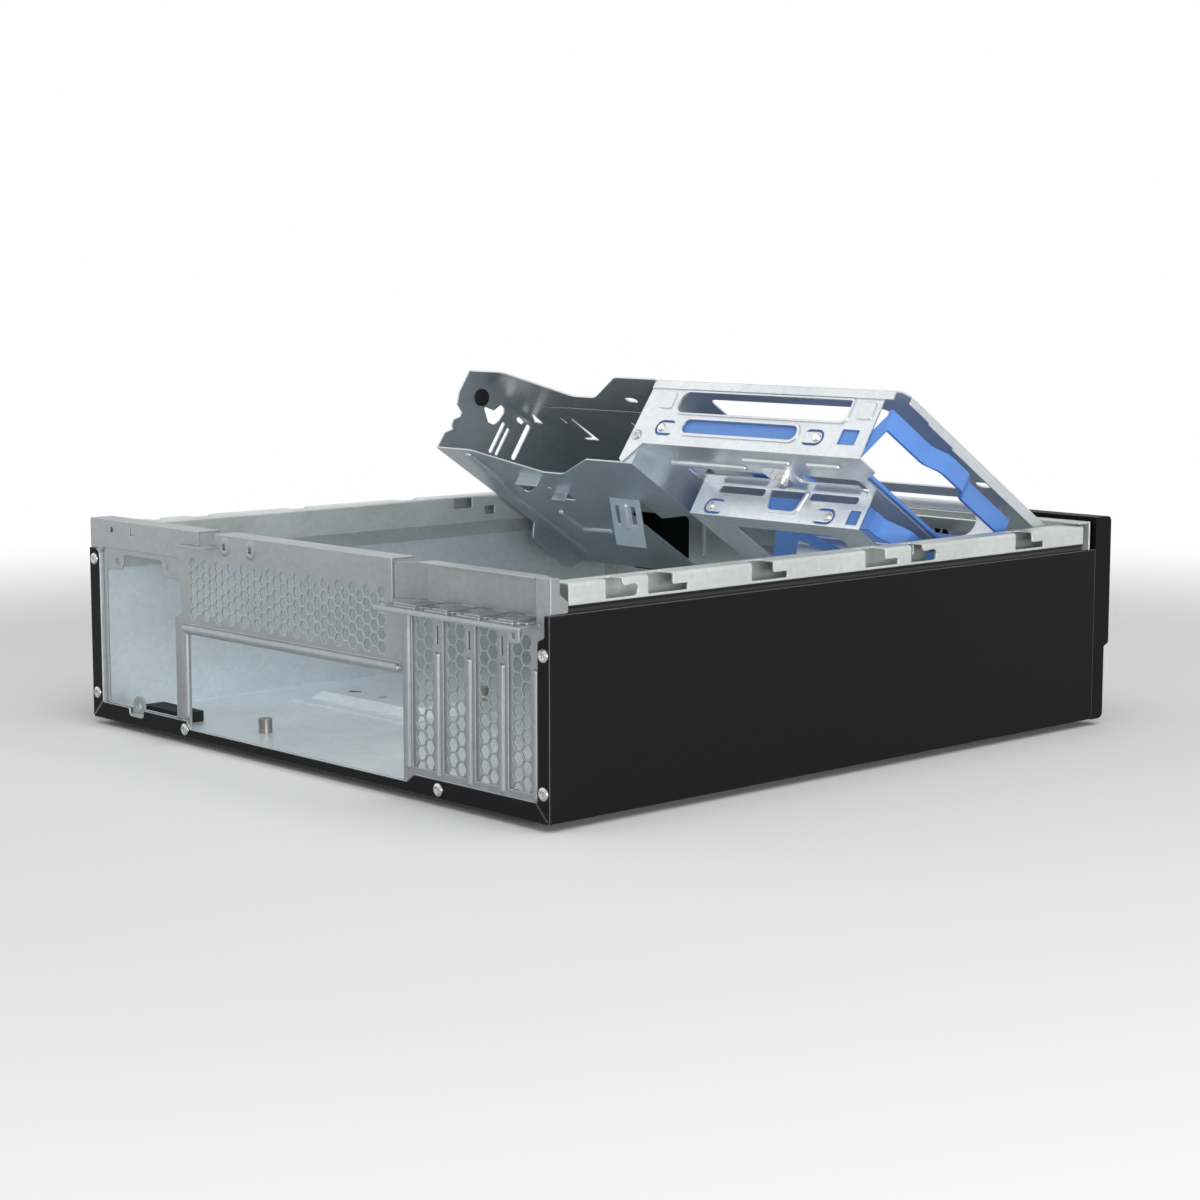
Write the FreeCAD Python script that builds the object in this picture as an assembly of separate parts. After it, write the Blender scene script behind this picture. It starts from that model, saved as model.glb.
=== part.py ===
import FreeCAD, Part
import math
import os

# Slim desktop computer chassis with its lid off and its hinged drive cage raised.
# Millimetres. Seen from behind, +X is to the right, +Y runs to the front bezel, +Z is up.
# Pieces are drawn from the rear plane (y = 0) and the underside of the shell (z = 0).
# The export moves them so that the origin is at the bottom centre of the whole part.

V = FreeCAD.Vector

# Sheet metal
SHEET = 0.8
BEND = 0.7
CORNER_PLAY = 0.2
RIVET_HOLE_PLAY = 0.02

# Rear face, from left to right
PSU_EDGE = 12.3
PSU_WIDTH = 63.5
POST_WIDTH = 7.7
IO_WIDTH = 158.75
SLOT_LEAD = 6.2
SLOT_WIDTH = 14.8
SLOT_PITCH = 20.32
SLOT_COUNT = 4
SLOT_EDGE = 10.74

# Rear face, from the bottom up
PSU_BOTTOM = 8.5
PSU_HEADROOM = 16.0
IO_BOTTOM = 4.6
IO_HEIGHT = 44.45
SLOT_BOTTOM = 11.0
SLOT_TOP_STRIP = 3.0
SHELF_DROP = 18.3
SHELF_REACH = 10.0
SHELF_LIP = 2.2

# Whole case
SHELL_DEPTH = 349.0
BEZEL_DEPTH = 12.0
CASE_HEIGHT = 97.0
SIDE_DROP = 14.3
FOOT_HEIGHT = 3.0
FOOT_RADIUS = 8.5
FOOT_INSET = 28.0

# Black shell
LEFT_FLANGE = 8.6
RIGHT_FLANGE = 7.0
BOTTOM_FLANGE = 8.0
PORT_FLANGE = 4.4
HEM = 10.0
MITRE_GAP = 0.5

# Rear panel details
TOP_FLANGE = 12.0
STEP_PLAY = 0.5
RECESS_RIM = 3.2
RECESS_TOP_RIM = 2.6
EAR_WIDTH = 15.0
EAR_DROP = 7.8
EAR_ROUND = 4.0
SILL_STEP = 4.8
SILL_HEIGHT = 47.5
PSU_SCREW_SPACING = 43.7
PSU_SCREW_RADIUS = 1.9
PSU_SCREW_DROP = 3.7
PSU_LOW_SCREW = 26.0
PSU_LOW_EAR = 5.0
BEAD = 2.3
RIB_BEAD = 1.4
RIB_BEAD_OFFSET = 1.9
RIB_BEAD_TOP = 16.0
RIB_BEAD_FOOT = 1.2
RIB_SLIT_TOP = 4.0
RIB_SLIT = 7.5
HEX_PITCH = 5.8
HEX_SIZE = 4.95
HEX_EDGE = 1.5
HEX_TOP_MARGIN = 10.5
WINDOW_CORNER = 8.5
WINDOW_LEAD = 6.7
TAB_NOTCH = 13.7
TAB_NOTCH_FROM_PORTS = 8.9

# Slot covers and clamp
COVER_WIDTH = 18.4
COVER_FOOT = 5.0
COVER_HEX_PITCH = 6.3
COVER_HEX_SIZE = 5.5
CLAMP_SETBACK = 6.2
CLAMP_LAP = 5.0
CLAMP_RAMP_START = 2.0
CLAMP_RAMP = 13.0
FINGER_WIDTH = 9.0

# Side rails
RAIL_DROP = 2.5
RAIL_WIDTH = 12.0
RAIL_GROOVE = 3.3
RAIL_STEP = 1.6
RAIL_LAP = 11.0
RAIL_INNER_DROP = 14.5
RAIL_START = 10.9
RAIL_END_GAP = 9.0
RAIL_NOTCH_DEPTH = 8.0

# Front steel panel
FRONT_SETBACK = 4.4
FRONT_FLANGE = 8.0
MOUTH_OPEN = 46.0
MOUTH_HEADROOM = 12.0
VENT_FROM_BAY = 52.0
VENT_WIDTH = 48.0
VENT_FALL = 19.0
VENT_RISE = 8.0

# Drive cage, in its closed position
RAIL_TO_CAGE = 2.7
CAGE_TOP_DROP = 4.8
CAGE_FRONT_GAP = 6.6
HINGE_SETBACK = 18.0
HINGE_DROP = 7.2
HINGE_EAR = 7.0
HINGE_PIN_RADIUS = 2.0
HINGE_PLAY = 0.06
HINGE_SIDE_GAP = 0.5
OPEN_ANGLE = 33.1
OPTICAL_WIDTH = 150.5
OPTICAL_HEIGHT = 46.4
OPTICAL_DEPTH = 137.5
TRAY_FRONT_GAP = 10.0
ROOF_SCOOP_DEPTH = 22.0
FLOOR_SCOOP_DEPTH = 18.5
DISK_HEIGHT = 35.2
DISK_DEPTH = 103.4
DISK_FRONT_GAP = 38.6
DISK_END_GAP = 11.0
DISK_FLOOR_INSET = 10.0
DISK_FLOOR_EAR = 13.5
DISK_HOLE_SPACING = 101.6
DISK_HOLE_INSET = 10.4
SMALL_LENGTH = 110.0
SMALL_INSET = 15.0
SMALL_HEIGHT = 18.0
SMALL_DEPTH = 73.0
SMALL_SETBACK = 35.4
SMALL_HOLE_SPACING = 76.6
SMALL_HOLE_INSET = 11.9
DISK_STUD_RISE = 9.3
SMALL_STUD_RISE = 5.0
BAY_SCREW_ALONG = 62.5
BAY_SCREW_BACK = 11.5
BAY_SCREW_RADIUS = 1.7
BAY_SCREW_HEAD = 3.6
BAY_SCREW_WASHER = 6.2
SCREW_TONGUE = 9.5
GROMMET_Y = 14.4
GROMMET_Z = 38.0
GROMMET_NECK = 3.2
CAGE_RIVET_INSET = 4.4
CAGE_RIVET_RISE = 15.7
LIP = 4.5
FRAME_FLANGE = 5.4
FRAME_CORNER = 4.5
FLANGE_LAP = 7.5
CAGE_BEAD = 1.8
RAMP_LEFT = 52.0
RAMP_WIDTH = 22.0
RAMP_START = 43.0
RAMP_FALL = 18.0
LEFT_SKIRT = 8.0
FLOOR_WING = 54.0
FLOOR_WING_SLANT = 8.0
FLOOR_WING_GAP = 0.5
RIM_WIDTH = 1.5
RIM_RISE = 0.6
WINDOW_RIM = 1.0

# Drive carriers
CARRIER_WALL = 2.0
CARRIER_PLAY = 0.3
UPPER_ARM = 14.0
LOWER_ARM = 12.0
HANDLE_HEIGHT = 9.4
HANDLE_RISE = 15.9
UPPER_BUMP = 6.0
LOWER_BUMP = 9.0
GRIP_ROUND = 6.0
UPPER_HANDLE_INSET = 4.5
LOWER_HANDLE_REACH = 5.0
STUD_RADIUS = 1.5
STUD_HEAD = 2.3

# Front bezel
BEZEL_WALL = 2.2
BEZEL_RISE = 1.0
BEZEL_CHIN = 35.0
BEZEL_CHIN_STEP = 3.5
BLANK_PLAY = 0.35
BUTTON_RADIUS = 8.0
BUTTON_PLAY = 0.4
BUTTON_TRAVEL = 1.5
BUTTON_FROM_EDGE = 125.0
BUTTON_STEM = 6.0
SWITCH_GAP = 0.3
CONTROL_DROP = 26.0
PORT_FROM_EDGE = 62.0
PORT_GAP = 18.0
PORT_SINK = 0.6
BOARD_THICKNESS = 1.6
JACK_DROP = 6.0
BOARD_HALF = 20.0
BOARD_FALL = 12.0
BOARD_RISE = 13.0
MOUTH_RIM = 1.0
POST_INSET = 8.0
POST_LOW = 14.0
POST_HIGH_DROP = 12.0
LOUVRE_COUNT = 5
LOUVRE_HALF = 110.0
LOUVRE_LOW = 7.0
LOUVRE_PITCH = 5.0
LOUVRE_SLOT = 2.2

# Floor fittings
STANDOFF_HEIGHT = 6.8
STANDOFF_RADIUS = 3.2
STANDOFF_BORE = 1.4
BOARD_FROM_SLOT = 44.3
BOARD_Y = 10.2
HOLE_COLUMNS = [0.0, -45.72, -203.2]
HOLE_ROWS = [0.0, 154.94, 227.33]
SHORT_ROW = 22.86
FLOOR_PLATE_INSET = 14.5
FLOOR_PLATE_WIDTH = 100.0
FLOOR_PLATE_DEPTH = 58.0
FLOOR_PLATE_REAR = 95.0
FLOOR_PLATE_RISE = 4.6
FLOOR_PLATE_RIM = 7.0
FLOOR_PLATE_SLOPE = 5.0
PAD_LENGTH = 35.0
PAD_WIDTH = 12.0
PAD_HEIGHT = 5.0
PAD_REAR = 17.0
PAD_INSET = 5.0

# Rivets
RIVET_BODY = 1.6
RIVET_LOW = 12.2
RIVET_HIGH_LEFT = 5.3
RIVET_HIGH_RIGHT = 15.8

# Notches of the rails for the lid's hooks: start from the rear, width of the mouth, reach of the foot
L_NOTCHES = [(53.7, 13.9, 8.3), (113.3, 13.2, 8.4), (184.3, 13.3, 8.4), (288.6, 12.2, 8.6)]
ROUND_NOTCHES = [(30.5, 9.0, 8.5), (214.8, 7.8, 9.6)]
# Windows of the rails' inner flange: start, width, foot and head below the rail's top
RAIL_WINDOWS = [(216.5, 12.8, 6.4, 1.1), (237.9, 7.1, 10.7, 6.1)]

# Scooped rear edges of the optical bay: turning points as shares of its width
ROOF_SCOOP = [0.173, 0.414, 0.528, 0.757]
FLOOR_SCOOP = [0.18, 0.45, 0.554, 0.78]
# Rear edge of the optical bay's left wall: distance forward and height above the bay's floor
WALL_EDGE = [(0.0, 32.5), (2.0, 26.8), (7.2, 24.6), (7.5, 21.6), (4.6, 18.5), (4.9, 15.5), (6.8, 13.6),
             (3.1, 9.4)]
# Holes of that wall, measured the same way: a shield, and slits with their start, end, foot and head
SHIELD = [(18.2, 35.0), (25.9, 36.8), (28.5, 42.0), (31.4, 41.7), (32.7, 38.8), (32.0, 33.3),
          (29.9, 30.1), (25.7, 29.3)]
WALL_SLITS = [(34.3, 36.6, 16.0, 35.0), (38.9, 40.9, 17.0, 34.0), (50.0, 53.2, 21.0, 43.0),
              (42.3, 47.4, 40.3, 43.0)]
# Holes of the optical bay's roof, from its rear left corner
ROOF_SLITS = [(29.6, 30.8, 46.0, 52.0), (84.9, 86.1, 46.0, 51.0), (103.0, 111.0, 20.0, 24.3)]
ROOF_LANCE = [(38.2, 46.3), (39.6, 46.3), (40.6, 69.0), (29.5, 69.0), (29.5, 67.2), (37.0, 66.2)]
ROOF_CORNER = [(10.0, 42.5), (8.7, 54.0), (2.0, 53.5)]
# Details of the optical bay's floor, from its rear left corner
FLOOR_RECESS = [(40.0, 30.3), (57.5, 30.3), (47.5, 38.5), (30.5, 47.5), (30.0, 38.0)]
FLOOR_WINDOW = (56.0, 66.0, 43.8, 51.0)
FLOOR_TABS = [(40.0, 57.5, 29.5, 4.2), (56.5, 66.5, 43.0, 4.5)]
SHORT_BEAD = [(40.0, 66.5), (40.0, 85.5), (63.0, 84.0)]
LONG_BEAD = [(22.0, 8.0), (22.0, 36.0), (17.0, 52.0), (17.0, 112.0)]
# Finger grips of the carriers: turning points as shares of the handle's length
UPPER_GRIP = [0.32, 0.39, 0.56, 0.63]
LOWER_GRIP = [0.1, 0.24, 0.6, 0.7]
# Beads of the disk bay's floor: start and end from its left edge, distance from its rear edge
DISK_BEADS = [(9.5, 56.5, 17.9), (64.0, 91.0, 9.8), (105.0, 122.0, 9.8)]

# Worked out from the sizes above
SLOT_ROW = SLOT_WIDTH + (SLOT_COUNT - 1) * SLOT_PITCH
CASE_WIDTH = PSU_EDGE + PSU_WIDTH + POST_WIDTH + IO_WIDTH + SLOT_LEAD + SLOT_ROW + SLOT_EDGE
HALF = CASE_WIDTH / 2
PSU_LEFT = -HALF + PSU_EDGE
PSU_RIGHT = PSU_LEFT + PSU_WIDTH
PSU_TOP = CASE_HEIGHT - PSU_HEADROOM
IO_LEFT = PSU_RIGHT + POST_WIDTH
IO_RIGHT = IO_LEFT + IO_WIDTH
IO_TOP = IO_BOTTOM + IO_HEIGHT
SLOT_FIRST = IO_RIGHT + SLOT_LEAD
SLOT_LEFTS = [SLOT_FIRST + i * SLOT_PITCH for i in range(SLOT_COUNT)]
SIDE_HEIGHT = CASE_HEIGHT - SIDE_DROP
SHELF_HEIGHT = CASE_HEIGHT - SHELF_DROP
PANEL_FACE = SHEET
PANEL_BACK = 2 * SHEET
WINDOW_LEFT = IO_RIGHT - WINDOW_LEAD
WINDOW_RIGHT = HALF - WINDOW_CORNER
RAIL_HEIGHT = CASE_HEIGHT - RAIL_DROP
RAIL_WEB_FOOT = SIDE_HEIGHT + RAIL_GROOVE
RAIL_OUTER = HALF - SHEET
RAIL_INNER = RAIL_OUTER - RAIL_WIDTH
FRONT_FACE = SHELL_DEPTH - FRONT_SETBACK
FRONT_BACK = FRONT_FACE + SHEET
FRONT_HEIGHT = CASE_HEIGHT - SHEET
CAGE_TOP = CASE_HEIGHT - CAGE_TOP_DROP
CAGE_HALF = RAIL_INNER - RAIL_TO_CAGE
HINGE_Y = SHELL_DEPTH - HINGE_SETBACK
HINGE_Z = CAGE_TOP - HINGE_DROP
CAGE_FRONT = FRONT_FACE - CAGE_FRONT_GAP
OPTICAL_RIGHT = -CAGE_HALF + OPTICAL_WIDTH
OPTICAL_BASE = CAGE_TOP - OPTICAL_HEIGHT
OPTICAL_REAR = CAGE_FRONT - OPTICAL_DEPTH
TRAY_FRONT = CAGE_FRONT - TRAY_FRONT_GAP
DISK_RIGHT = CAGE_HALF - DISK_END_GAP
DISK_BASE = CAGE_TOP - DISK_HEIGHT
DISK_FRONT = FRONT_FACE - DISK_FRONT_GAP
DISK_REAR = DISK_FRONT - DISK_DEPTH
SMALL_LEFT = OPTICAL_RIGHT + SMALL_INSET
SMALL_RIGHT = SMALL_LEFT + SMALL_LENGTH
SMALL_BASE = DISK_BASE - SMALL_HEIGHT
SMALL_REAR = DISK_REAR + SMALL_SETBACK
SMALL_FRONT = SMALL_REAR + SMALL_DEPTH
BEZEL_FRONT = SHELL_DEPTH + BEZEL_DEPTH
BEZEL_HEIGHT = CASE_HEIGHT + BEZEL_RISE
RIVET_SHANK = RIVET_BODY + RIVET_HOLE_PLAY
REAR_RIVETS = [
    (-HALF + LEFT_FLANGE / 2, SIDE_HEIGHT - RIVET_HIGH_LEFT),
    (-HALF + LEFT_FLANGE / 2, RIVET_LOW),
    (PSU_RIGHT + POST_WIDTH / 2, BOTTOM_FLANGE / 2),
    (SLOT_FIRST + (SLOT_PITCH + SLOT_WIDTH) / 2, BOTTOM_FLANGE / 2),
    (HALF - RIGHT_FLANGE / 2, RIVET_LOW),
    (HALF - RIGHT_FLANGE / 2, SIDE_HEIGHT - RIVET_HIGH_RIGHT),
]
BOARD_X = SLOT_FIRST + SLOT_WIDTH / 2 + BOARD_FROM_SLOT
OPTICAL_MOUTH = (-CAGE_HALF + MOUTH_RIM, OPTICAL_RIGHT - MOUTH_RIM,
                 OPTICAL_BASE + MOUTH_RIM, CAGE_TOP - MOUTH_RIM)
BUTTON_X = HALF - BUTTON_FROM_EDGE
BUTTON_Z = BEZEL_HEIGHT - CONTROL_DROP
PORT_X = HALF - PORT_FROM_EDGE
PORT_Z = BEZEL_HEIGHT - CONTROL_DROP
PORT_COLUMNS = [PORT_X - PORT_GAP / 2, PORT_X + PORT_GAP / 2]
CAGE_RIVET_X = OPTICAL_RIGHT - CAGE_RIVET_INSET
CAGE_RIVET_Z = OPTICAL_BASE + CAGE_RIVET_RISE
DISK_STUD_X = [OPTICAL_RIGHT + DISK_HOLE_INSET, OPTICAL_RIGHT + DISK_HOLE_INSET + DISK_HOLE_SPACING]
DISK_STUD_Z = DISK_BASE + DISK_STUD_RISE
SMALL_STUD_X = [SMALL_LEFT + SMALL_HOLE_INSET, SMALL_LEFT + SMALL_HOLE_INSET + SMALL_HOLE_SPACING]
SMALL_STUD_Z = SMALL_BASE + SMALL_STUD_RISE
BAY_SCREW_X = SMALL_LEFT + BAY_SCREW_ALONG
BAY_SCREW_Y = SMALL_REAR - BAY_SCREW_BACK
FRAME_SHIFT = V(0, -(BEZEL_FRONT - SHELF_REACH) / 2, FOOT_HEIGHT)


def spot(plane, u, v, level):
    """A point of a drawing plane: xz looks from behind, xy from above, yz from the right."""
    places = {"xz": V(u, level, v), "xy": V(u, v, level), "yz": V(level, u, v)}
    return places[plane]


def along(plane):
    """The direction in which a drawing on a plane is thickened."""
    return {"xz": V(0, 1, 0), "xy": V(0, 0, 1), "yz": V(1, 0, 0)}[plane]


def loop(plane, level, points, radius=0.0):
    """A closed outline with rounded corners; a point may bring its own radius as a third value."""
    corners = []
    count = len(points)
    for i in range(count):
        here = V(points[i][0], points[i][1], 0)
        before = V(points[i - 1][0], points[i - 1][1], 0)
        after = V(points[(i + 1) % count][0], points[(i + 1) % count][1], 0)
        size = points[i][2] if len(points[i]) > 2 else radius
        into = (before - here).normalize()
        out = (after - here).normalize()
        turn = into.getAngle(out)
        if size <= 0 or abs(turn - math.pi) < 1e-6:
            corners.append((here, here, here))
            continue
        reach = size / math.tan(turn / 2)
        middle = (into + out).normalize()
        centre = here + middle * (size / math.sin(turn / 2))
        corners.append((here + into * reach, centre - middle * size, here + out * reach))
    edges = []
    for i in range(count):
        start, mid, end = [spot(plane, p.x, p.y, level) for p in corners[i]]
        following = corners[(i + 1) % count][0]
        if (start - end).Length > 1e-7:
            edges.append(Part.Arc(start, mid, end).toShape())
        target = spot(plane, following.x, following.y, level)
        if (target - end).Length > 1e-7:
            edges.append(Part.LineSegment(end, target).toShape())
    return Part.Wire(edges)


def rectangle(plane, level, u0, u1, v0, v1, radius=0.0):
    return loop(plane, level, [(u0, v0), (u1, v0), (u1, v1), (u0, v1)], radius)


def circle(plane, level, u, v, radius):
    return Part.Wire([Part.makeCircle(radius, spot(plane, u, v, level), along(plane))])


def hexagon(plane, level, u, v, size):
    """A hexagon with flat top and bottom, measured across its flats."""
    corner = size / math.sqrt(3)
    angles = [math.radians(60 * i) for i in range(6)]
    return loop(plane, level, [(u + corner * math.cos(a), v + corner * math.sin(a)) for a in angles])


def slab(plane, level, thickness, outer, holes=()):
    """A flat piece of sheet with its holes."""
    face = Part.makeFace([outer] + list(holes), "Part::FaceMakerBullseye")
    return face.extrude(along(plane) * thickness)


def block(x0, x1, y0, y1, z0, z1):
    return Part.makeBox(x1 - x0, y1 - y0, z1 - z0, V(x0, y0, z0))


def fuse(shapes):
    return shapes[0].multiFuse(shapes[1:]).removeSplitter()


def mirrored(shape):
    """The same piece on the other side of the case."""
    return shape.mirror(V(0, 0, 0), V(1, 0, 0))


def section(points, thickness, bend):
    """The cut edge of a folded sheet: its outer line, with the thickness laid to the left."""
    count = len(points)
    normals = []
    for i in range(count - 1):
        du = points[i + 1][0] - points[i][0]
        dv = points[i + 1][1] - points[i][1]
        length = math.hypot(du, dv)
        normals.append((-dv / length, du / length))
    outer = []
    inner = []
    for i in range(count):
        before = normals[max(i - 1, 0)]
        after = normals[min(i, count - 2)]
        scale = thickness / (1 + before[0] * after[0] + before[1] * after[1])
        shift = ((before[0] + after[0]) * scale, (before[1] + after[1]) * scale)
        cross = before[0] * after[1] - before[1] * after[0]
        sizes = (bend + thickness, bend) if cross > 0 else (bend, bend + thickness)
        if i == 0 or i == count - 1:
            sizes = (0.0, 0.0)
        outer.append((points[i][0], points[i][1], sizes[0]))
        inner.append((points[i][0] + shift[0], points[i][1] + shift[1], sizes[1]))
    return outer + inner[::-1]


def folded(plane, level, length, points, bend=BEND):
    """A folded sheet of one section along its whole length."""
    return slab(plane, level, length, loop(plane, level, section(points, SHEET, bend)))


def capsule(start, end, radius):
    """A round bar with ball ends."""
    direction = end - start
    bar = Part.makeCylinder(radius, direction.Length, start, direction)
    return fuse([bar, Part.makeSphere(radius, start), Part.makeSphere(radius, end)])


def beyond(axis, level, side):
    """A large block on one side of a sheet's face, overlapping it a little."""
    far = 4 * SHELL_DEPTH
    low = [-far, -far, -far]
    high = [far, far, far]
    if side < 0:
        high[axis] = level + SHEET / 4
    else:
        low[axis] = level - SHEET / 4
    return block(low[0], high[0], low[1], high[1], low[2], high[2])


def pressed_bead(panel, runs, radius, outside):
    """Press a hollow half-round bead out of a sheet along straight runs, into the outside block."""
    hollow = [capsule(a, b, radius - SHEET) for a, b in runs]
    solid = [capsule(a, b, radius).common(outside) for a, b in runs]
    return fuse([panel] + solid).cut(fuse(hollow) if len(hollow) > 1 else hollow[0])


def bead_runs(points, left, rear, level):
    """Straight runs of a bead on a level sheet, from points measured from a corner of the sheet."""
    places = [V(left + x, rear + y, level) for x, y in points]
    return list(zip(places[:-1], places[1:]))


def turned(profile, base, axis):
    """A turned piece: radius and height pairs about an axis that starts at the base."""
    points = [V(r, 0, h) for r, h in profile]
    wire = Part.makePolygon(points + [points[0]])
    solid = Part.Face(wire).revolve(V(0, 0, 0), V(0, 0, 1), 360)
    solid.Placement = FreeCAD.Placement(base, FreeCAD.Rotation(V(0, 0, 1), axis))
    return solid


def rivet(base, outward, grip):
    """A blind rivet with a domed head, a pierced centre and a shank as long as its grip."""
    head = [(0.9, 0.4), (0.9, 1.0), (1.9, 1.1), (2.7, 0.6), (2.9, 0.0)]
    shank = [(RIVET_BODY, 0.0), (RIVET_BODY, -grip), (2.1, -grip), (2.1, -grip - 1.2),
             (0.0, -grip - 1.6), (0.0, 0.4)]
    return turned(head + shank, base, outward)


def outer_shell():
    """Black floor and sides in one folded sheet, with flanges lapped over the rear panel."""
    tray = folded("xz", 0, SHELL_DEPTH, [(-HALF, SIDE_HEIGHT), (-HALF, 0), (HALF, 0), (HALF, SIDE_HEIGHT)])
    hem_start = RAIL_START + 1.0
    hems = []
    for side in (-1, 1):
        near = side * (HALF - SHEET)
        far = side * (HALF - 2 * SHEET)
        span = sorted((near, far))
        hems.append(block(span[0], span[1], hem_start, FRONT_FACE, SIDE_HEIGHT - HEM, SIDE_HEIGHT))
    low_ear = PSU_LEFT + PSU_LOW_SCREW
    notch = PSU_LOW_EAR + 1.2
    flange = [
        (-HALF, 0.0, BEND + SHEET), (HALF, 0.0, BEND + SHEET), (HALF, SIDE_HEIGHT, 0.0),
        (HALF - 3.0, SIDE_HEIGHT, 1.0), (HALF - 3.0, SIDE_HEIGHT - 9.0, 1.0),
        (HALF - RIGHT_FLANGE, SIDE_HEIGHT - 10.5, 2.0), (HALF - RIGHT_FLANGE, BOTTOM_FLANGE, 1.5),
        (IO_RIGHT + 8.0, BOTTOM_FLANGE, 2.0), (IO_RIGHT + 3.0, PORT_FLANGE, 2.0),
        (IO_LEFT, PORT_FLANGE, 2.0), (IO_LEFT - 3.0, BOTTOM_FLANGE, 2.0),
        (low_ear + notch, BOTTOM_FLANGE, 1.0), (low_ear + notch, PORT_FLANGE, 2.0),
        (low_ear - notch, PORT_FLANGE, 2.0), (low_ear - notch, BOTTOM_FLANGE, 1.0),
        (-HALF + LEFT_FLANGE, BOTTOM_FLANGE, 1.5), (-HALF + LEFT_FLANGE, SIDE_HEIGHT, 4.0),
        (-HALF, SIDE_HEIGHT, 0.0),
    ]
    holes = [circle("xz", 0, x, z, RIVET_SHANK) for x, z in REAR_RIVETS]
    rear = slab("xz", 0, SHEET, loop("xz", 0, flange), holes)
    shell = fuse([tray, rear] + hems)
    mitre = block(0, 2 * BOTTOM_FLANGE, -1, SHEET, -MITRE_GAP / 2, MITRE_GAP / 2)
    for side, angle in ((-1, -45), (1, -135)):
        slit = mitre.copy()
        slit.translate(V(2.0, 0, 0))
        slit.rotate(V(0, 0, 0), V(0, 1, 0), angle)
        slit.translate(V(side * HALF, 0, 0))
        shell = shell.cut(slit)
    return shell


def hex_field(left, right, bottom, top, pitch):
    """Centres of a staggered hexagon pattern that fills a rectangle."""
    column = pitch * math.sqrt(3) / 2
    columns = int((right - left) / column)
    spots = []
    for i in range(columns):
        lift = pitch / 2 if i % 2 else 0.0
        rows = int((top - bottom - lift) / pitch)
        for j in range(rows):
            spots.append((left + (i + 0.5) * column, bottom + lift + (j + 0.5) * pitch))
    return spots


def psu_opening(level):
    """The power supply opening, with two corner ears above and one low screw ear."""
    sill = PSU_BOTTOM + SILL_HEIGHT
    points = [
        (PSU_LEFT, PSU_BOTTOM), (PSU_RIGHT - SILL_STEP, PSU_BOTTOM), (PSU_RIGHT - SILL_STEP, sill),
        (PSU_RIGHT, sill + 1.5), (PSU_RIGHT, PSU_TOP - EAR_DROP),
        (PSU_RIGHT - EAR_WIDTH, PSU_TOP - EAR_DROP, EAR_ROUND), (PSU_RIGHT - EAR_WIDTH, PSU_TOP),
        (PSU_LEFT + EAR_WIDTH, PSU_TOP), (PSU_LEFT + EAR_WIDTH, PSU_TOP - EAR_DROP, EAR_ROUND),
        (PSU_LEFT, PSU_TOP - EAR_DROP),
    ]
    return loop("xz", level, points, 1.6)


def psu_screws():
    """Centres of the three screw holes of the power supply."""
    middle = (PSU_LEFT + PSU_RIGHT) / 2
    high = PSU_TOP - PSU_SCREW_DROP
    return [
        (middle - PSU_SCREW_SPACING / 2, high),
        (middle + PSU_SCREW_SPACING / 2, high),
        (PSU_LEFT + PSU_LOW_SCREW, PSU_BOTTOM + 0.9),
    ]


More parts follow.
